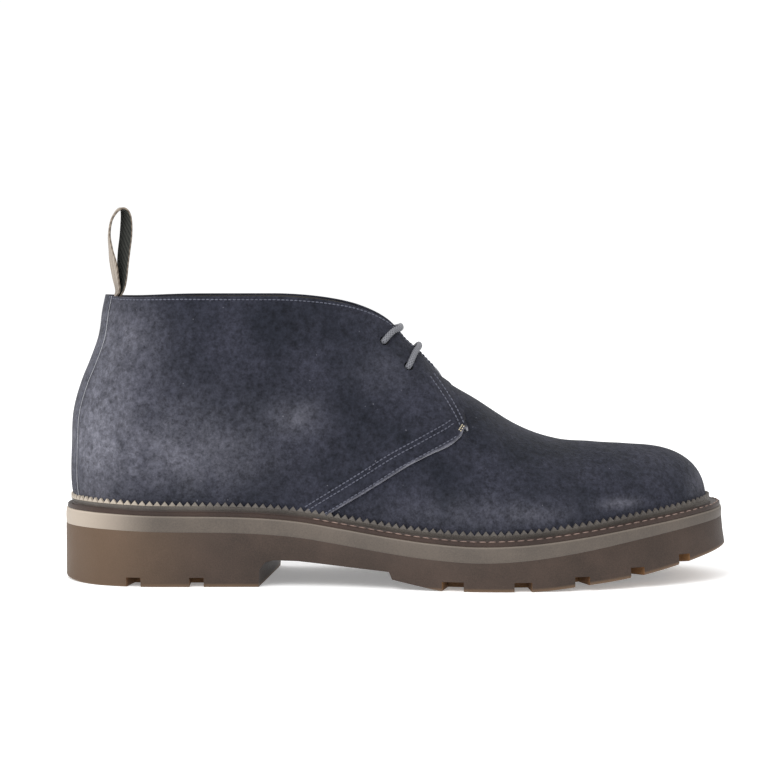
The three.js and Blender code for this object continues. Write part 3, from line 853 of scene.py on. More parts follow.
# %% Blocks and booleans
def loop_at(inset, height):
    """Points of the outline moved in by inset, at a height that may follow x."""
    plan = outline(sole_turns, np.broadcast_to(inset, sole_turns.shape))
    z = height(plan[:, 0]) if callable(height) else np.full(AROUND, height)
    return np.concatenate([plan, z[:, None]], axis=1)


def box_mesh(name, size, centre, angle=0.0):
    mesh = bpy.data.meshes.new(name)
    work = bmesh.new()
    bmesh.ops.create_cube(work, size=1)
    points = np.array([v.co for v in work.verts]) * size
    turned = np.stack([
        points[:, 0] * math.cos(angle) - points[:, 1] * math.sin(angle),
        points[:, 0] * math.sin(angle) + points[:, 1] * math.cos(angle),
        points[:, 2],
    ], axis=1) + centre
    for vertex, p in zip(work.verts, place(turned)):
        vertex.co = p
    work.to_mesh(mesh)
    work.free()
    mesh.materials.append(cut_rubber)
    return scratch_object(name, mesh)


def scratch_object(name, mesh):
    piece = bpy.data.objects.new(name, mesh)
    bpy.context.scene.collection.objects.link(piece)
    return piece


def boolean(piece, cutter, operation="DIFFERENCE"):
    modifier = piece.modifiers.new("cut", "BOOLEAN")
    modifier.operation = operation
    modifier.solver = "EXACT"
    modifier.material_mode = "TRANSFER"
    modifier.object = cutter
    bake(piece)
    bpy.data.objects.remove(cutter)


def bake(piece):
    """The evaluated mesh takes the place of the mesh and its modifiers."""
    graph = bpy.context.evaluated_depsgraph_get()
    mesh = bpy.data.meshes.new_from_object(piece.evaluated_get(graph))
    piece.modifiers.clear()
    piece.data = mesh


print("points in one loop of the sole:", len(loop_at(0, 0)))

# %% [markdown]
# ## Notches, arch and wells
# All the notches are cut at once. Fourteen cuts in a row would leave thin slivers where
# one cut's edges cross another's, and open edges with them.

# %% Cutters of the outsole
def notch_cutter(row, side):
    turn = float(station_of(row["at"]))
    turn = on_side(turn, side)
    normal = edge_normal(turn)
    reach, tall = LUG_GAP_LENGTH + 4, 40
    rim = outline(turn, -4.0)
    floor = float(ground_of(row["at"])) + LUG_DEPTH
    centre = np.array([*(rim - normal * reach / 2), floor - tall / 2])
    return box_mesh("notch", (reach, row["length"], tall), centre, math.atan2(normal[1], normal[0]))


def notch_cutters():
    """All the notches' blocks as one mesh, so the sole is cut once and stays closed."""
    mesh = bpy.data.meshes.new("notches")
    work = bmesh.new()
    for row in NOTCHES:
        for side in (-1, 1):
            block = notch_cutter(row, side)
            work.from_mesh(block.data)
            bpy.data.objects.remove(block)
    work.to_mesh(mesh)
    work.free()
    mesh.materials.append(cut_rubber)
    return scratch_object("notches", mesh)


def arch_cutter():
    middle, half = ARCH[0]["at"], ARCH_HALF_WIDTH
    angle = math.radians(BREAST_SKEW)
    points = []
    for y in (-half, half):
        for row in ARCH:
            x = row["at"] - middle
            forward = x * math.cos(angle) - y * math.sin(angle) + middle + ARCH_FORWARD
            points.append((forward, x * math.sin(angle) + y * math.cos(angle), row["z"]))
    n = len(ARCH)
    faces = [tuple(range(n)), tuple(reversed(range(n, 2 * n)))]
    faces += [(i, i + n, (i + 1) % n + n, (i + 1) % n) for i in range(n)]
    cutter = build("arch", points, faces, [sole_rubber])
    face_outward(cutter)
    return cutter


def recess_cutter(row):
    levels = [
        loop_at(row["inset"], -5),
        loop_at(row["inset"], lambda x: ground_of(x) + row["depth"]),
    ]
    well = slab("well", levels, [sole_rubber])
    middle = (row["start"] + row["end"]) / 2
    stretch = box_mesh("stretch", (row["end"] - row["start"], 200, 200), np.array([middle, 0, 0]))
    boolean(well, stretch, "INTERSECT")
    for lug in CROSS_LUGS:
        centre = np.array([lug["at"], 0, 0])
        boolean(well, box_mesh("arm", (lug["along"], CROSS_ARM, ARM_HEIGHT), centre))
        boolean(well, box_mesh("arm", (CROSS_ARM, lug["across"], ARM_HEIGHT), centre))
    return well

# %% [markdown]
# ## The rubber block
# A moulded edge is never a knife's edge: three loops near the ground round it off. The
# wall then flares outwards below and comes back in under the midsole. Points near the
# ground are paler, and the heel is painted paler, as painted light.

# %% Outsole
SOLE_GAP = 0.02


def make_outsole():
    flare = read(PLAN_S, "flare", station_at(sole_turns))

    def roof(x):
        return top_of(x) - band_of(x) - SOLE_GAP

    levels = [
        loop_at(0.9 - flare, ground_of),
        loop_at(0.3 - flare, lambda x: ground_of(x) + 0.25),
        loop_at(-flare, lambda x: ground_of(x) + 0.9),
        loop_at(-0.93 * flare, lambda x: ground_of(x) + 1.8),
        loop_at(-0.4 * flare, lambda x: (ground_of(x) + roof(x)) / 2),
        loop_at(0, lambda x: roof(x) - 0.3),
        loop_at(0.12, roof),
    ]
    piece = slab("outsole_rubber", levels, [sole_rubber, cut_rubber])
    boolean(piece, arch_cutter())
    for row in RECESSES:
        boolean(piece, recess_cutter(row))
    boolean(piece, notch_cutters())
    finish_shading(piece, 30)
    points = points_of(piece)
    # Paler near the ground edge, and painted light on the heel.
    low = 1 - smooth_step(points[:, 2] - ground_of(points[:, 0]), 0.3, 1.7)
    heel = 1 - smooth_step(points[:, 0], 10, 80)
    mark(piece, "wear", np.maximum(0.6 * low, 0.35 * heel))
    return piece


settle(make_outsole(), "outsole")

# %% [markdown]
# ## Midsole
# A band of crepe-like rubber between the outsole and the welt. A plain box section would look
# like card, so its face bulges by a tenth of a millimetre, and its top edge is rounded more
# than its lower one. The heel's end and the top edge are painted paler, as painted light.

# %% Midsole
def make_midsole():
    def low(x):
        return top_of(x) - band_of(x)

    levels = [
        loop_at(0.12, low),
        loop_at(0, lambda x: low(x) + 0.3),
        loop_at(0, lambda x: low(x) + 1),
        loop_at(-0.1, lambda x: (low(x) + top_of(x)) / 2),
        loop_at(0.1, lambda x: top_of(x) - 0.9),
        loop_at(0.35, lambda x: top_of(x) - 0.25),
        loop_at(0.9, top_of),
    ]
    piece = slab("midsole_band", levels, [band_rubber])
    points = np.concatenate(levels)
    # Painted light: paler at the heel's end, and a painted highlight along the top edge.
    at_heel = 0.62 * (1 - smooth_step(points[:, 0], 4, 48))
    high = smooth_step(points[:, 2] - top_of(points[:, 0]), -0.95, -0.2)
    mark(piece, "wear", np.clip(at_heel + 0.15 * high, 0, 1))
    return piece


settle(make_midsole(), "midsole")

# %% [markdown]
# ## Rows of small things
# Welt teeth and stitches repeat along a line. One recipe builds a Geometry Nodes tree that
# walks a line at an even pitch and sets a small solid at each step, turned along the line.
# Its sizes are inputs, so one such tree makes every row of stitches and a second one the
# teeth.

# %% Geometry Nodes: a row along a line
INPUTS = ("Pitch", "Length", "Width", "Height")


def row_tree(name, kind, stand, **words):
    tree = bpy.data.node_groups.new(name, "GeometryNodeTree")
    tree.interface.new_socket("Line", in_out="INPUT", socket_type="NodeSocketGeometry")
    for word in INPUTS:
        tree.interface.new_socket(word, in_out="INPUT", socket_type="NodeSocketFloat")
    tree.interface.new_socket("Finish", in_out="INPUT", socket_type="NodeSocketMaterial")
    tree.interface.new_socket("Row", in_out="OUTPUT", socket_type="NodeSocketGeometry")
    given = add(tree, "NodeGroupInput").outputs
    line = add(tree, "GeometryNodeMeshToCurve", Mesh=given["Line"])
    steps = add(tree, "GeometryNodeResampleCurve", mode="LENGTH", Curve=line, Length=given["Pitch"])
    solid = add(tree, "GeometryNodeTransform", Geometry=add(tree, kind, **words), Rotation=stand)
    size = add(tree, "ShaderNodeCombineXYZ", X=given["Length"], Y=given["Width"], Z=given["Height"])
    shaped = add(tree, "GeometryNodeTransform", Geometry=solid, Scale=size)
    way = add(tree, "GeometryNodeInputTangent")
    yaw = add(tree, "FunctionNodeAlignRotationToVector", axis="X", pivot_axis="Z", Vector=way)
    turn = add(
        tree, "FunctionNodeAlignRotationToVector", axis="X", pivot_axis="Y", Rotation=yaw,
        Vector=way,
    )
    row = add(tree, "GeometryNodeInstanceOnPoints", Points=steps, Instance=shaped, Rotation=turn)
    real = add(tree, "GeometryNodeRealizeInstances", Geometry=row)
    done = add(tree, "GeometryNodeSetMaterial", Geometry=real, Material=given["Finish"])
    add(tree, "NodeGroupOutput", Row=done)
    return tree


stitch_tree = row_tree(
    "stitch_row", "GeometryNodeMeshUVSphere", (0, 0, 0), Segments=8, Rings=6, Radius=0.5
)
ON_ITS_SIDE = (math.pi / 2, math.pi / 6, 0)
tooth_tree = row_tree(
    "tooth_row", "GeometryNodeMeshCylinder", ON_ITS_SIDE, Vertices=3, Radius=1.0, Depth=1.0
)


print("row inputs:", ", ".join(INPUTS))


def make_row(name, tree, lines, finish, closed=False, **sizes):
    """One piece of stitches or teeth along all the lines, with sizes in millimetres."""
    mesh = bpy.data.meshes.new(name)
    points, edges = [], []
    for line in lines:
        first, count = len(points), len(line)
        points += place(line).tolist()
        edges += [(first + i, first + i + 1) for i in range(count - 1)]
        if closed:
            edges.append((first + count - 1, first))
    mesh.from_pydata(points, edges, [])
    piece = scratch_object(name, mesh)
    modifier = piece.modifiers.new("row", "NODES")
    modifier.node_group = tree
    values = {word: sizes[word.lower()] * MM for word in INPUTS} | {"Finish": finish}
    for item in tree.interface.items_tree:
        if item.in_out == "INPUT" and item.name in values:
            modifier[item.identifier] = values[item.name]
    bake(piece)
    finish_shading(piece, 50)
    return piece

# %% [markdown]
# ## Storm welt
# A storm welt is an L-shaped strip: the flat flange is sewn to the midsole, and the rib
# stands up against the upper to keep water out. Its cross-section is a ring of ten
# points, and that ring runs once around the foot. It could be swept along a curve, but
# then it would not lean with the upper, as this one does.

# %% Welt
TOOTH_PITCH = 3.45
TOOTH_HEIGHT = 2.1
RIB_BODY = RIB_HEIGHT - TOOTH_HEIGHT
RIB_CROWN = 0.2
WELT_GAP = 0.05


def rib_points(turn, height, outward):
    up = up_at_height(turn, height)
    inner = lifted(turn, up, GAP)
    return np.concatenate([inner[..., :2] + edge_normal(turn) * outward, inner[..., 2:]], axis=-1)


def flange_loop(inset, up):
    plan = outline(sole_turns, np.broadcast_to(inset, sole_turns.shape))
    return np.concatenate([plan, (top_of(plan[:, 0]) + WELT_GAP + up)[:, None]], axis=1)


def foot_loop(outward, up):
    plan = wall(sole_turns, 0)[:, :2] + edge_normal(sole_turns) * outward
    return np.concatenate([plan, (top_of(plan[:, 0]) + WELT_GAP + up)[:, None]], axis=1)


def make_welt():
    flange = [
        foot_loop(GAP, 0),
        flange_loop(FLANGE_SETBACK, 0),
        flange_loop(FLANGE_SETBACK - 0.15, 0.5),
        flange_loop(FLANGE_SETBACK, FLANGE_THICKNESS - 0.4),
        flange_loop(FLANGE_SETBACK + 0.5, FLANGE_THICKNESS),
        foot_loop(GAP + RIB_THICKNESS + 0.5, FLANGE_THICKNESS - 0.3),
    ]
    rib = [
        foot_loop(GAP + RIB_THICKNESS + 0.1, FLANGE_THICKNESS + 0.4),
        rib_points(sole_turns, RIB_BODY, RIB_THICKNESS),
        rib_points(sole_turns, RIB_BODY + RIB_CROWN, RIB_THICKNESS - 0.3),
        rib_points(sole_turns, RIB_BODY + RIB_CROWN, 0.0),
    ]
    rings = flange + rib
    points = np.concatenate(rings)
    ids = np.arange(len(points)).reshape(len(rings), AROUND)
    ids = np.concatenate([ids, ids[:, :1]], axis=1)
    ids = np.concatenate([ids, ids[:1]], axis=0)
    row = np.repeat(np.arange(len(rings)), AROUND)
    return build("storm_welt", points, grid(ids), [flange_leather, rib_leather], row >= len(flange))


settle(make_welt(), "welt")

# %% [markdown]
# ## Pinked teeth
# Pinking shears cut the rib's top into small points, so that the leather bends round the
# toe without puckering. Each tooth is a three-sided prism that lies on its side with one
# corner up. The row's line runs a third of the tooth's height above the rib, because a
# triangle's middle is a third of the way up. The teeth at the heel are painted paler, as
# painted light.

# %% Teeth
TIP_LIGHT = 0.75
HEEL_LIGHT_FADE = (20, 75)
tooth_line = rib_points(
    sole_turns, RIB_BODY + RIB_CROWN + TOOTH_HEIGHT / 3, RIB_THICKNESS / 2
)
teeth = make_row(
    "welt_teeth", tooth_tree, [tooth_line], rib_leather, closed=True,
    pitch=TOOTH_PITCH, length=TOOTH_PITCH / math.sqrt(3), width=RIB_THICKNESS - 0.3,
    height=TOOTH_HEIGHT / 1.5,
)
# Painted light: the teeth at the heel get paler tips.
heel_light = 1 - smooth_step(points_of(teeth)[:, 0], *HEEL_LIGHT_FADE)
mark(teeth, "wear", TIP_LIGHT * heel_light)
settle(teeth, None)

# %% [markdown]
# ## Welt stitches
# One lock-stitched row holds the flange to the midsole. It starts in front of the heel
# and goes round the toe, 1.1 mm inside the flange's edge. Each stitch is a long bead.

# %% Welt stitches
STITCHED_FROM = 118
SEAM_INSET = 1.1
seam_turns = np.linspace(0, 2, 900)
seam_turns = seam_turns[edge(seam_turns)[:, 0] > STITCHED_FROM]
seam = outline(seam_turns, np.full(len(seam_turns), FLANGE_SETBACK + SEAM_INSET))
seam = np.concatenate([seam, (top_of(seam[:, 0]) + FLANGE_THICKNESS + 0.15)[:, None]], axis=1)
welt_stitches = make_row(
    "welt_stitches", stitch_tree, [seam], thread_pink, pitch=4.3, length=3.3, width=0.7, height=0.6
)
settle(welt_stitches, None)

# %% [markdown]
# ## Upper
# The upper is cut from flat suede: a vamp over the toes, and two quarters that wrap
# the heel and lace over the instep. Each panel is a sheet on the last's surface, given
# its thickness and a cut edge. The quarters lie over the vamp, so they rise by one
# thickness of suede along their front edge.

# %% The quarter's front edge, in side view
QUARTER_EDGE = table(
    "x z",
    (172.4, 97),
    (176, 92),
    (181.5, 83.5),
    (186.6, 74),
    (187.2, 71.6),
    (184.3, 68.3),
    (170, 60.4),
    (156.5, 53.2),
    (145, 45.9),
    (133.9, 39),
    (124, 33),
    (116, 28),
)
TIP = 4
FACING_END = float(station_of(182.7))


def on_wall(side, spots):
    """Turn and up of the points of the upper that a side view shows at (x, z)."""
    spots = np.asarray(spots, float)
    turn = station_of(np.minimum(spots[:, 0] + 8, SOLE_LENGTH - 1))
    turn = on_side(turn, side)
    up = np.full(len(spots), 0.5)
    tiny = 1e-4
    for _ in range(30):
        p = wall(turn, up)
        around = (wall(turn + tiny, up) - p) / tiny
        rising = (p - wall(turn, up - tiny)) / tiny
        slopes = stack(around[:, 0], rising[:, 0], around[:, 2], rising[:, 2]).reshape(-1, 2, 2)
        miss = (spots - p[:, ::2])[..., None]
        step = np.clip(np.linalg.solve(slopes, miss)[..., 0], -0.05, 0.05)
        turn, up = turn + step[:, 0], np.clip(up + step[:, 1], 0, 0.999)
    return turn, up


def quarter_front(side):
    """Turn and up along the front edge, from the facing down to the welt."""
    turn, up = on_wall(side, [(row["x"], row["z"]) for row in QUARTER_EDGE])
    turn[0], up[0] = on_side(FACING_END, side), 1
    up[-1] = 0
    return stack(turn, up)


fronts = {side: quarter_front(side) for side in (-1, 1)}


def front_turns(side, up):
    pairs = fronts[side][::-1]
    return np.interp(up, pairs[:, 1], pairs[:, 0])

print("turn of the outer front edge at the welt:", fronts[-1][-1, 0].round(3))

# %% [markdown]
# ## Bloom and painted light
# Suede pales in patches: at the heel's curve, on the ankle, on the toe. The patches are
# partly rubbed suede and partly painted light, where the lamp falls on the heel and the
# toe. Each row is one soft spot in side view, and their sum is stored on the points.
# Painting weights by hand would give the same, but it would be lost when a panel is built
# again.

# %% Bloom and painted light
# Soft pale spots: partly rubbed suede, partly painted light on the heel and the toe.
BLOOM_AND_PAINTED_LIGHT = table(
    "x z across tall much",
    (44, 66, 44, 22, 0.24),
    (62, 58, 30, 12, 0.2),
    (16, 66, 14, 28, 0.5),
    (24, 110, 20, 24, 0.38),
    (109, 77, 12, 8, 0.24),
    (150, 98, 14, 10, 0.08),
    (282, 56, 16, 7, 0.05),
    (296, 44, 6, 8, 0.2),
    (215, 34, 16, 4, 0.12),
    (190, 34, 40, 8, 0.14),
    (257, 38, 9, 2.5, 0.3),
)


def bloom_and_painted_light_at(points):
    total = np.zeros(points.shape[:-1])
    for spot in BLOOM_AND_PAINTED_LIGHT:
        far = ((points[..., 0] - spot["x"]) / spot["across"]) ** 2
        far = far + ((points[..., 2] - spot["z"]) / spot["tall"]) ** 2
        total = total + spot["much"] * np.exp(-far)
    return total


print("palest spot:", max(row["much"] for row in BLOOM_AND_PAINTED_LIGHT))

# %% [markdown]
# ## A panel
# A panel is a sheet with a face, a back and four borders. A Solidify modifier would do
# the same from a single sheet. Here both sides are worked out on the last, because the
# back has to follow the lining. The side borders are cut through the hide and show raw
# suede, so they get the second material. A small bevel takes the knife's edge off.

# %% A panel
EDGE_ANGLE = 50


def sheet_piece(
    name, turn, up, outer, thickness, materials,
    open_top=None, wrap=False, round_edge=0.3, rubbed_and_lit=0.0,
):
    """A panel of the upper. outer is how far its face stands off the last."""
    rows, columns = turn.shape
    face = lifted(turn, up, outer)
    back = lifted(turn, up, outer - thickness)
    points = np.concatenate([face.reshape(-1, 3), back.reshape(-1, 3)])
    ids = np.arange(rows * columns).reshape(rows, columns)
    behind = ids + rows * columns
    if wrap:
        ids = np.concatenate([ids, ids[:, :1]], axis=1)
        behind = np.concatenate([behind, behind[:, :1]], axis=1)
    top = grid(np.stack([ids[-1], behind[-1]]))
    dyed = [grid(ids), grid(behind, flip=True), grid(np.stack([behind[0], ids[0]]))]
    dyed.append(top if open_top is None else top[open_top])
    raw = []
    if not wrap:
        raw.append(grid(np.stack([ids[:, -1], behind[:, -1]]), flip=True))
        raw.append(grid(np.stack([ids[:, 0], behind[:, 0]])))
    faces = np.concatenate(dyed + raw)
    is_raw = np.arange(len(faces)) >= len(faces) - sum(map(len, raw))
    piece = build(name, points, faces, materials, is_raw)
    rubbed_and_lit = np.broadcast_to(rubbed_and_lit, turn.shape).ravel()
    # Pale patches stored on the points: partly rubbed suede, partly painted light.
    mark(piece, "bloom", bloom_and_painted_light_at(points) + np.concatenate([rubbed_and_lit, rubbed_and_lit]))
    weld(piece)
    if round_edge:
        modifier = piece.modifiers.new("rounded", "BEVEL")
        modifier.width = round_edge * MM
        modifier.segments = 2
        modifier.limit_method = "ANGLE"
        modifier.angle_limit = math.radians(EDGE_ANGLE)
        bake(piece)
        finish_shading(piece, EDGE_ANGLE)
    return piece


print("a panel turns sharp above", EDGE_ANGLE, "degrees")

# %% [markdown]
# ## Quarters
# A quarter is one side of the heel and the ankle. Columns of points run from the heel to
# the front edge and get closer together there, because the edge is where the eye rests.
# Near the edge the quarter climbs over the vamp by one thickness of suede.

# %% Quarters
CLIMB = (9, 22)


def distance_to(points, line):
    best = np.full(points.shape[:-1], 1e9)
    for p in line:
        best = np.minimum(best, np.linalg.norm(points - p, axis=-1))
    return best


def quarter_lift(side, points):
    """The quarter rises over the vamp near its front edge."""
    up = np.linspace(0, 1, 120)
    line = wall(front_turns(side, up), up)
    return 0.05 + SUEDE * (1 - smooth_step(distance_to(points, line), *CLIMB))


# A pale band along the cut front edge: partly rubbed suede, partly a painted highlight for the lit
# raw edge.
EDGE_RUBBED_AND_LIT = 0.6
EDGE_RUBBED_AND_LIT_FADE = (0.2, 1.5)


def make_quarter(side):
    tip_up = fronts[side][TIP, 1]
    up = np.concatenate([np.linspace(0, tip_up, 60)[:-1], np.linspace(tip_up, 1, 50)])[:, None]
    share = np.linspace(0, 1, 240)[None, :]
    share = 0.6 * share + 0.4 * (1 - (1 - share) ** 2)
    back = 0.0 if side < 0 else 2.0
    turn = back + (front_turns(side, up) - back) * share
    up = np.broadcast_to(up, turn.shape)
    lift = quarter_lift(side, wall(turn, up))
    low_up = np.linspace(0, tip_up, 260)
    from_edge = distance_to(wall(turn, up), wall(front_turns(side, low_up), low_up))
    # Painted highlight along the cut edge, mixed with rubbed suede.
    rubbed_and_lit = EDGE_RUBBED_AND_LIT * (1 - smooth_step(from_edge, *EDGE_RUBBED_AND_LIT_FADE))
    if side > 0:
        turn, up, lift, rubbed_and_lit = (part[:, ::-1] for part in (turn, up, lift, rubbed_and_lit))
    name = "quarter_outer" if side < 0 else "quarter_inner"
    return sheet_piece(name, turn, up, lift, SUEDE, [suede, suede_edge], rubbed_and_lit=rubbed_and_lit)


quarters = {side: make_quarter(side) for side in (-1, 1)}
print("quarters:", quarters[-1].name, quarters[1].name)

# %% [markdown]
# ## Vamp
# The vamp is one sheet over the toes, from one quarter's edge to the other's, with a
# hidden lap under both. It meets the throat at the tongue, so only its two laps have a
# border at the top: elsewhere the two sides join along the ridge.

# %% Vamp
UNDERLAP = 0.018


def make_vamp():
    rows, half = 80, 110
    up = np.linspace(0, 1, rows)[:, None]
    first = 14

    def one_side(side):
        start = front_turns(side, up)
        start = on_side(start, side)
        start = start - UNDERLAP
        middle = start + (THROAT - FACING_END + UNDERLAP)
        near = start + (middle - start) * np.linspace(0, 1, first)[None, :]
        far = middle + (1 - middle) * np.linspace(0, 1, half)[None, 1:]
        return np.concatenate([near, far], axis=1)

    outer, inner = one_side(-1), 2 - one_side(1)[:, ::-1]
    turn = np.concatenate([outer, inner[:, 1:]], axis=1)
    up = np.broadcast_to(up, turn.shape)
    columns = turn.shape[1]
    gap = np.arange(columns - 1)
    open_top = (gap < first - 1) | (gap >= columns - first)
    zero = np.zeros(turn.shape)
    return sheet_piece("vamp", turn, up, zero, SUEDE, [suede, suede_edge], open_top, round_edge=0)


vamp = make_vamp()
print("vamp:", len(vamp.data.vertices), "points")

# %% [markdown]
# ## Lining
# Smooth calf on the inside, sewn just under the collar's edge, so that it doesn't show
# from outside. It goes once around the foot, and it is open where the throat is.

# %% Lining
LINING_TOP = 0.992


def make_lining():
    half = np.concatenate([np.linspace(0, THROAT, 70), np.linspace(THROAT, 1, 50)[1:]])
    turn = np.concatenate([half, 2 - half[-2:0:-1]])[None, :]
    up = np.linspace(0, 1, 40)[:, None]
    turn, up = np.broadcast_arrays(turn, up)
    station = station_at(turn)
    up = np.where(station < THROAT - 1e-6, up * LINING_TOP, up)
    middle = (station[0] + np.roll(station[0], -1)) / 2
    open_top = middle < THROAT
    outer = np.full(turn.shape, -SUEDE - 0.1)
    return sheet_piece(
        "lining", turn, up, outer, LINING, [lining, lining], open_top, wrap=True, round_edge=0
    )


inside = make_lining()
print("lining:", len(inside.data.vertices), "points")

# %% [markdown]
# ## Back strip
# A narrow strip covers the seam where the two quarters meet behind the heel. It is half
# a millimetre thick and 4 mm deep in side view all the way up, so its width is found at
# each height by halving.

# %% Back strip
STRIP_DEPTH = 4.0


def strip_turn(up, side):
    low, high = np.zeros_like(up), np.full_like(up, 0.3)
    for _ in range(24):
        middle = (low + high) / 2
        probe = on_side(middle, side)
        behind = wall(probe, up)[..., 0] - wall(0, up)[..., 0] < STRIP_DEPTH
        low, high = np.where(behind, middle, low), np.where(behind, high, middle)
    return low


def make_strip():
    up = np.linspace(0, 1, 90)[:, None]
    outer_turn, inner_turn = strip_turn(up, -1), strip_turn(up, 1)
    share = np.linspace(-1, 1, 41)[None, :]
    turn = np.where(share < 0, share * inner_turn, share * outer_turn)
    up = np.broadcast_to(up, turn.shape)
    lift = np.full(turn.shape, 0.6)
    return sheet_piece("back_strip", turn, up, lift, 0.5, [suede, suede_edge], round_edge=0.2)


back_strip = make_strip()
print("back strip:", len(back_strip.data.vertices), "points")

# %% [markdown]
# ## Eyelets
# The lace goes through plain punched holes, without metal rings. Each hole is cut along
# the leather's own normal, through the quarter and the lining, with one round punch.

# %% Eyelets
EYELETS = table("at up lead", (152.7, 0.859, 9), (165, 0.795, 7))
EYELET_RADIUS = 2.2


def eyelet_spot(row, side):
    turn = float(station_of(row["at"]))
    turn = on_side(turn, side)
    return turn, wall(turn, row["up"]), wall_normal(turn, row["up"])


def punch(piece, side):
    for row in EYELETS:
        _, spot, normal = eyelet_spot(row, side)
        mesh = bpy.data.meshes.new("punch")
        work = bmesh.new()
        radius = EYELET_RADIUS * MM
        bmesh.ops.create_cone(
            work, cap_ends=True, segments=28, radius1=radius, radius2=radius, depth=8 * MM
        )
        for vertex in work.verts:
            vertex.co = Vector(place(spot)) + Vector(normal).to_track_quat("Z", "Y") @ vertex.co
        work.to_mesh(mesh)
        work.free()
        boolean(piece, scratch_object("punch", mesh))
    finish_shading(piece, 50)


for side in (-1, 1):
    punch(quarters[side], side)
    punch(inside, side)

settle(quarters[-1], "upper")
settle(quarters[1], None)
settle(vamp, None)
settle(inside, None)
settle(back_strip, None)

# %% [markdown]
# ## Tongue
# The tongue is the vamp's own suede carried on under the facings. It lies deeper where
# the lace crosses under the facing. Between the facings it arches over the instep on a
# Bezier curve, and beyond them it follows the last, a few millimetres in.

# %% Tongue
TONGUE = {"start": 154, "end": 200, "reach": 0.36}
TONGUE_DEEP = 7.1
TONGUE_SHALLOW = 2.7
TONGUE_RISE = (172, 187)
TONGUE_HALF_WIDTH = 34
TONGUE_LOW = 0.96
TONGUE_PULL = 16
TONGUE_THICKNESS = 1.6
TONGUE_TOP = 0.72
TONGUE_TOP_LENGTH = 10


def tongue_row(at, across, extra):
    """Points across the tongue, -1 to 1, at one section of the last."""
    risen = smooth_step(at, *TONGUE_RISE)
    depth = TONGUE_DEEP + (TONGUE_SHALLOW - TONGUE_DEEP) * risen + extra
    station = float(station_of(at))
    half = 0.0 if station >= THROAT else float(section("y", station)) / TONGUE_HALF_WIDTH
    turn = np.where(across < 0, station, 2 - station)
    beyond = np.maximum(np.abs(across) - half, 0)
    under = lifted(turn, 1 - beyond / (1 - half) * TONGUE["reach"], np.full(across.shape, -depth))
    if half == 0:
        return under
    ends = [lifted(side, 1.0, -depth) for side in (station, 2 - station)]
    lows = [lifted(side, TONGUE_LOW, -depth) for side in (station, 2 - station)]
    pulls = [unit(end - low) * half * TONGUE_PULL for end, low in zip(ends, lows)]
    t = np.clip((across / half + 1) / 2, 0, 1)[:, None]
    arch = bezier(t, ends[0], ends[0] + pulls[0], ends[1] + pulls[1], ends[1])
    return np.where((np.abs(across) < half)[:, None], arch, under)


def make_tongue():
    ats = np.linspace(TONGUE["start"], TONGUE["end"], 60)
    share = np.linspace(-1, 1, 61)
    widening = smooth_step(ats, TONGUE["start"], TONGUE["start"] + TONGUE_TOP_LENGTH)
    width = TONGUE_TOP + (1 - TONGUE_TOP) * widening
    face = np.array([tongue_row(at, share * w, 0.0) for at, w in zip(ats, width)])
    back = np.array([tongue_row(at, share * w, TONGUE_THICKNESS) for at, w in zip(ats, width)])
    points = np.concatenate([face.reshape(-1, 3), back.reshape(-1, 3)])
    ids = np.arange(face[..., 0].size).reshape(face.shape[:2])
    behind = ids + ids.size
    rim = [
        grid(np.stack([ids[0], behind[0]])),
        grid(np.stack([behind[-1], ids[-1]])),
        grid(np.stack([behind[:, 0], ids[:, 0]])),
        grid(np.stack([ids[:, -1], behind[:, -1]])),
    ]
    skin = np.concatenate([grid(ids, flip=True), grid(behind)])
    piece = build("tongue_suede", points, np.concatenate([skin, *rim]), [suede])
    face_outward(piece)
    mark(piece, "bloom", np.zeros(len(points)))
    finish_shading(piece, 50)
    return piece


settle(make_tongue(), "tongue")

# %% [markdown]
# ## Sock
# The leather sock is the pad that the foot stands on. It fills the sole's outline inside
# the lining, with a rounded top edge.

# %% Sock
def make_sock():
    inset = section("inset", station_at(sole_turns)) + SUEDE + LINING + 0.8
    levels = [
        loop_at(inset, lambda x: top_of(x) + GAP),
        loop_at(inset, lambda x: top_of(x) + GAP + 2.4),
        loop_at(inset + 0.6, lambda x: top_of(x) + GAP + 3),
    ]
    return slab("leather_sock", levels, [sock])


settle(make_sock(), "insole")

# %% [markdown]
# ## Lace
# The lace is one round cord. It comes up through the first outer eyelet, crosses the
# throat, goes down the inner one, runs behind the facing and crosses back.

# %% Lace
LACE_RADIUS = 1.4
RUN_DEPTH = 2.4 + GAP + LACE_RADIUS + 0.7
LACE_REST = LACE_RADIUS + 0.15


def facing_lift(turn, up):
    side = -1 if turn <= 1 else 1
    return float(quarter_lift(side, wall(turn, up)))


FACING_EDGE = 0.985


def over_facing(row, side):
    """Up through an eyelet and slantwise to the facing's edge."""
    _, spot, normal = eyelet_spot(row, side)
    path = [spot - normal, spot + 0.9 * normal]
    for share in (0.22, 0.6, 1):
        turn = float(station_of(row["at"] + row["lead"] * share))
        turn = on_side(turn, side)
        up = row["up"] + (FACING_EDGE - row["up"]) * share
        path.append(lifted(turn, up, LACE_REST + facing_lift(turn, up)))
    return path


def lace_bar(row, side):
    near, far = over_facing(row, side), over_facing(row, -side)[::-1]
    return [*near, (near[-1] + far[0]) / 2 + np.array([0.5, 0, 0.7]), *far]


def lace_knots():
    top, low = EYELETS

    def behind(share, flip):
        at = top["at"] + (low["at"] - top["at"]) * share
        up = top["up"] + (low["up"] - top["up"]) * share
        turn = float(station_of(at))
        return lifted(2 - turn if flip else turn, up, -RUN_DEPTH)

    run = [behind(share, True) for share in (0.2, 0.5, 0.8)]
    return [behind(0, False), *lace_bar(top, -1), *run, *lace_bar(low, 1), behind(1, False)]


print("knots of the lace:", len(lace_knots()))

# %% [markdown]
# ## A curve through knots
# A lace pulled tight has no sudden bends. A centripetal curve goes through every knot
# and, unlike a plain spline, makes no loops where two knots lie close together.

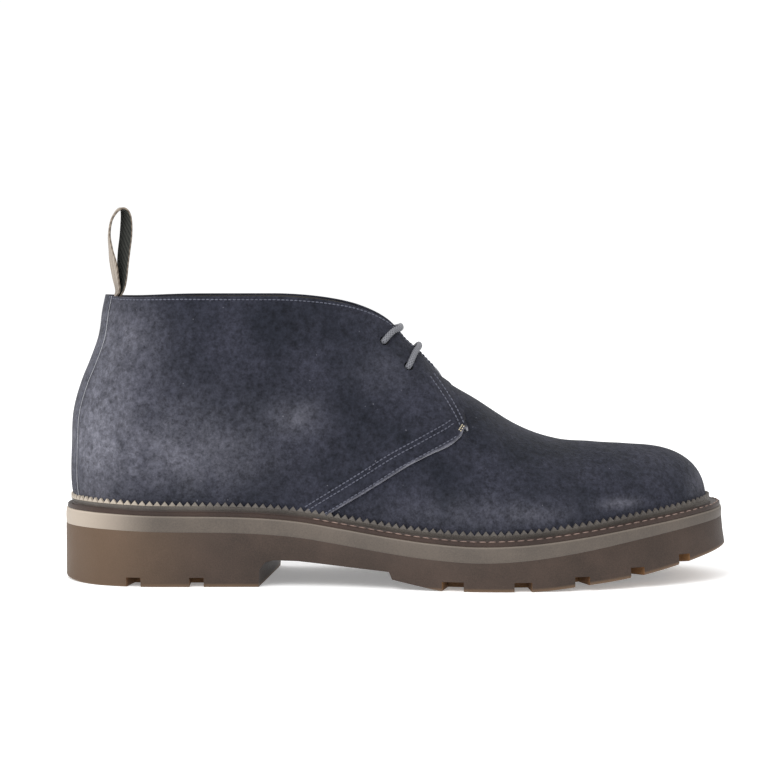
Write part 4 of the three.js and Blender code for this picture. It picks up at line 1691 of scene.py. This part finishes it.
# %% A curve through knots
def through(knots, count):
    """A smooth centripetal curve through the knots."""
    knots = np.array(knots)
    knots = np.concatenate([[2 * knots[0] - knots[1]], knots, [2 * knots[-1] - knots[-2]]])
    times = np.concatenate([[0], np.cumsum(np.linalg.norm(np.diff(knots, axis=0), axis=1) ** 0.5)])
    points = []
    for t in np.linspace(times[1], times[-2], count):
        i = int(np.clip(np.searchsorted(times, t, side="right") - 1, 1, len(knots) - 3))
        p, s = knots[i - 1 : i + 3], times[i - 1 : i + 3]

        def between(a, b, low, high):
            return a + (b - a) * (t - low) / (high - low)

        a = [between(p[k], p[k + 1], s[k], s[k + 1]) for k in range(3)]
        b = [between(a[k], a[k + 1], s[k], s[k + 2]) for k in range(2)]
        points.append(between(b[0], b[1], s[1], s[2]))
    return np.array(points)


lace_path = through(lace_knots(), 360)
lace = tube("lace_cord", lace_path, LACE_RADIUS, 18, [lace_cord])
lace_length = np.linalg.norm(np.diff(lace_path, axis=0), axis=1).sum()
print("lace length, mm:", round(float(lace_length), 1))
settle(lace, "lace")

# %% [markdown]
# ## Pull loop
# A strip of woven tape, folded into a teardrop and sewn in behind the heel. Its path is
# a row of knots in side view, each with the degrees that the tape is twisted there, as a
# tape that has been pulled often doesn't stand straight. A map along and across the tape
# is stored for the twill.

# %% Pull loop
LOOP = table(
    "x z twist",
    (19.9, 119, 0),
    (20.8, 125, 0),
    (22.6, 130, 6),
    (24.6, 134.5, 16),
    (23.7, 140, 20),
    (22.6, 147, 22),
    (21.4, 154, 14),
    (20.8, 161, 8),
    (21.9, 167.3, 7),
    (24.3, 171.3, 10),
    (27.0, 172.7, 18),
    (28.6, 169.6, 30),
    (28.8, 165, 35),
    (28.5, 159.5, 37),
    (27.8, 154, 37),
    (27.1, 147, 34),
    (26.8, 140, 28),
    (26.3, 134.5, 18),
    (24.5, 130, 8),
    (22.1, 125, 0),
    (21.1, 119, 0),
)
TAPE_WIDTH = 10.4
TAPE_THICKNESS = 1.1


def make_loop():
    knots = through([(row["x"], row["twist"], row["z"]) for row in LOOP], 170)
    twist = np.radians(knots[:, 1])
    path = knots * (1, 0, 1)
    tangent = unit(np.gradient(path, axis=0))
    wide = stack(-np.sin(twist), np.cos(twist), np.zeros(len(path)))
    outward = unit(np.cross(wide, tangent)) * -1
    run = np.concatenate([[0], np.cumsum(np.linalg.norm(np.diff(path, axis=0), axis=1))])
    half, thick = TAPE_WIDTH / 2, TAPE_THICKNESS / 2
    across = np.linspace(-1, 1, 9)
    profile = [(y * half, thick) for y in across] + [(y * half, -thick) for y in across[::-1]]
    rings = []
    for y, out in profile:
        pinch = 0.65 if abs(y) == half else 1
        rings.append(path + outward * out * pinch + wide * y)
    rings = np.stack(rings, axis=1)
    count = len(profile)
    ids = np.arange(rings[..., 0].size).reshape(rings.shape[:2])
    around = np.concatenate([ids, ids[:, :1]], axis=1)
    faces = grid(around, flip=True).tolist()
    column = np.tile(np.arange(count), len(path) - 1)
    middle = len(across)
    on_back = (column >= middle) & (column < count - 1)
    kind = np.where(column < middle - 1, 0, np.where(on_back, 1, 2)).tolist()
    faces += [ids[0].tolist(), ids[-1][::-1].tolist()]
    kind += [2, 2]
    piece = build(
        "heel_pull_loop", rings.reshape(-1, 3), faces, [webbing_out, webbing_in, webbing_edge],
        kind,
    )
    face_outward(piece)
    print("tape length, mm:", run[-1].round(1))
    strip = piece.data.attributes.new("strip", "FLOAT_VECTOR", "POINT")
    side_values = np.array([y for y, _ in profile])
    values = np.zeros((len(path), count, 3))
    values[..., 0] = run[:, None]
    values[..., 1] = side_values[None, :]
    strip.data.foreach_set("vector", values.astype(np.float32).ravel())
    finish_shading(piece, 40)
    return piece


settle(make_loop(), "pull_loop")

# %% [markdown]
# ## Stitching
# Fine stitches follow the panels' edges. Each row is a line on the panel's surface, and
# the stitch tree walks along it. The rows keep a set distance from the edge in side view,
# because a seam runs parallel to its edge wherever the leather bends.

# %% Stitch lines on the upper
def on_quarter(side, turns, ups):
    points = wall(turns, ups)
    return lifted(turns, ups, quarter_lift(side, points) + 0.02)


front_path = through([(row["x"], row["z"]) for row in QUARTER_EDGE], 400)
front_way = unit(np.gradient(front_path, axis=0))
front_back = stack(front_way[:, 1], -front_way[:, 0])
below_tip = np.arange(len(front_path)) > front_path[:, 0].argmax()


def inset_front(side, distance, keep):
    """The part of a line, a set distance behind the quarter's front edge, that is kept."""
    return on_quarter(side, *on_wall(side, (front_path + front_back * distance)[keep]))


def collar_line(side, drop):
    station = np.linspace(0.02, FACING_END - 0.004, 260)
    turn = on_side(station, side)
    up = np.full(len(turn), 1 - drop)
    return on_quarter(side, turn, up)


print(
    "length of the front edge, mm:",
    np.linalg.norm(np.diff(front_path, axis=0), axis=1).sum().round(1),
)

# %% [markdown]
# ## Rows on the quarters
# Two rows run down each facing, three along the lower edge, in a pair and a single one,
# and one follows the collar. They stop short of the tip and of the welt.

# %% Rows on the quarters
FACING_HEIGHTS = (74.6, 96)
LOWEST = 29.5
FACING_ROWS = (1.4, 3.4)
LOW_ROWS = table("behind stop", (1.2, 182), (6.6, 184), (8.6, 184))
quarter_rows = []
for side in (-1, 1):
    for behind_edge in FACING_ROWS:
        keep = ~below_tip & (front_path[:, 1] > FACING_HEIGHTS[0])
        keep &= front_path[:, 1] < FACING_HEIGHTS[1]
        quarter_rows.append(inset_front(side, behind_edge, keep))
    for row in LOW_ROWS:
        keep = below_tip & (front_path[:, 0] < row["stop"]) & (front_path[:, 1] > LOWEST)
        quarter_rows.append(inset_front(side, row["behind"], keep))
    quarter_rows.append(collar_line(side, 0.014))
quarter_stitches = make_row(
    "quarter_stitches", stitch_tree, quarter_rows, thread_navy, pitch=2.0, length=1.75,
    width=0.75, height=0.65,
)
settle(quarter_stitches, None)

# %% [markdown]
# ## Bartacks
# At the tip, where the facings pull on the vamp, a bartack takes the strain: a few close
# stitches of pale thread, side by side.

# %% Bartacks
BAR_SIDEWAYS = np.array([0.8, -0.6])
BAR = ((183.5, 70.6), (184.9, 72.4))
bar_rows = []
for side in (-1, 1):
    for nudge in (-0.5, 0.5):
        ends = np.linspace(*BAR, 12) + nudge * BAR_SIDEWAYS
        bar_rows.append(on_quarter(side, *on_wall(side, ends)))
bartacks = make_row(
    "bartacks", stitch_tree, bar_rows, thread_cream, pitch=1.0, length=0.9, width=0.5, height=0.6
)
settle(bartacks, None)

# %% [markdown]
# ## Stitches of the back strip
# A single row runs up each border of the strip, from above the rib to the collar.

# %% Stitches of the back strip
strip_rows = []
strip_up = np.linspace(0.08, 0.99, 200)
for side in (-1, 1):
    turn = strip_turn(strip_up, side) * 0.9
    turn = on_side(turn, side)
    strip_rows.append(lifted(turn, strip_up, np.full(len(strip_up), 0.62)))
strip_stitches = make_row(
    "back_strip_stitches", stitch_tree, strip_rows, thread_navy, pitch=2.6, length=1.7,
    width=0.5, height=0.5,
)
settle(strip_stitches, None)

# %% [markdown]
# ## Floor
# The boot stands on a sheet of white paper, several metres wide, so that no border shows.
# It is stage, so it isn't exported with the boot.

# %% Floor
FLOOR_HALF = 3


def make_floor():
    mesh = bpy.data.meshes.new("floor")
    half = FLOOR_HALF
    mesh.from_pydata(
        [(-half, -half, 0), (half, -half, 0), (half, half, 0), (-half, half, 0)], [],
        [(0, 1, 2, 3)],
    )
    piece = scratch_object("floor", mesh)
    # White paper, lit from behind the way a light table is, so shadows on it stay pale.
    paper = make_grained(
        "white_paper", "FBFBFB", "FFFFFF", 60, 0.0, 0.9, Emission_Color=(1, 1, 1, 1),
        Emission_Strength=0.25,
    )
    piece.data.materials.append(paper)


make_floor()
print("floor:", 2 * FLOOR_HALF, "m wide")

# %% [markdown]
# ## Light
# A white studio lights a boot from all around, which the world does here. A metre-wide
# lamp in front, above and to the left adds the direction: a large lamp near by gives a
# shadow with a soft border. Several small lamps would give several shadows.

# %% Light
SKY_STRENGTH = 1.04
world = bpy.data.worlds.new("studio")
bpy.context.scene.world = world
world.use_nodes = True
world.node_tree.nodes["Background"].inputs["Color"].default_value = (1, 1, 1, 1)
world.node_tree.nodes["Background"].inputs["Strength"].default_value = SKY_STRENGTH


def area_light(name, place_m, aim_m, size, power):
    light = bpy.data.lights.new(name, "AREA")
    light.size = size
    light.energy = power
    lamp = bpy.data.objects.new(name, light)
    lamp.location = place_m
    way = np.array(aim_m) - np.array(place_m)
    lamp.rotation_euler = Vector(way).to_track_quat("-Z", "Y").to_euler()
    bpy.context.scene.collection.objects.link(lamp)


area_light("key", place_m=(-0.6, -1.0, 1.2), aim_m=(0, 0, 0.05), size=1.0, power=14)
print("sky strength:", SKY_STRENGTH)

# %% [markdown]
# ## Camera
# A long lens from over a metre away keeps the heel and the toe in proportion, where a
# short one from near by would swell the side that faces it. The camera stands a little
# above the boot and looks slightly down, so that the sole's edge and the collar's far
# side both show. Standard view keeps the white paper white.

# %% Camera
SENSOR_MM = 36
LENS_MM = 115.4353
LOOK_DOWN = 3.3
camera_data = bpy.data.cameras.new("camera")
camera_data.sensor_width = SENSOR_MM
camera_data.lens = LENS_MM
camera = bpy.data.objects.new("camera", camera_data)
camera.location = (-0.0065, -1.150, 0.1575)
camera.rotation_euler = (math.radians(90 - LOOK_DOWN), 0, 0)
bpy.context.scene.collection.objects.link(camera)
bpy.context.scene.camera = camera
bpy.context.scene.view_settings.view_transform = "Standard"
print("camera:", LENS_MM, "mm lens,", LOOK_DOWN, "degrees down")
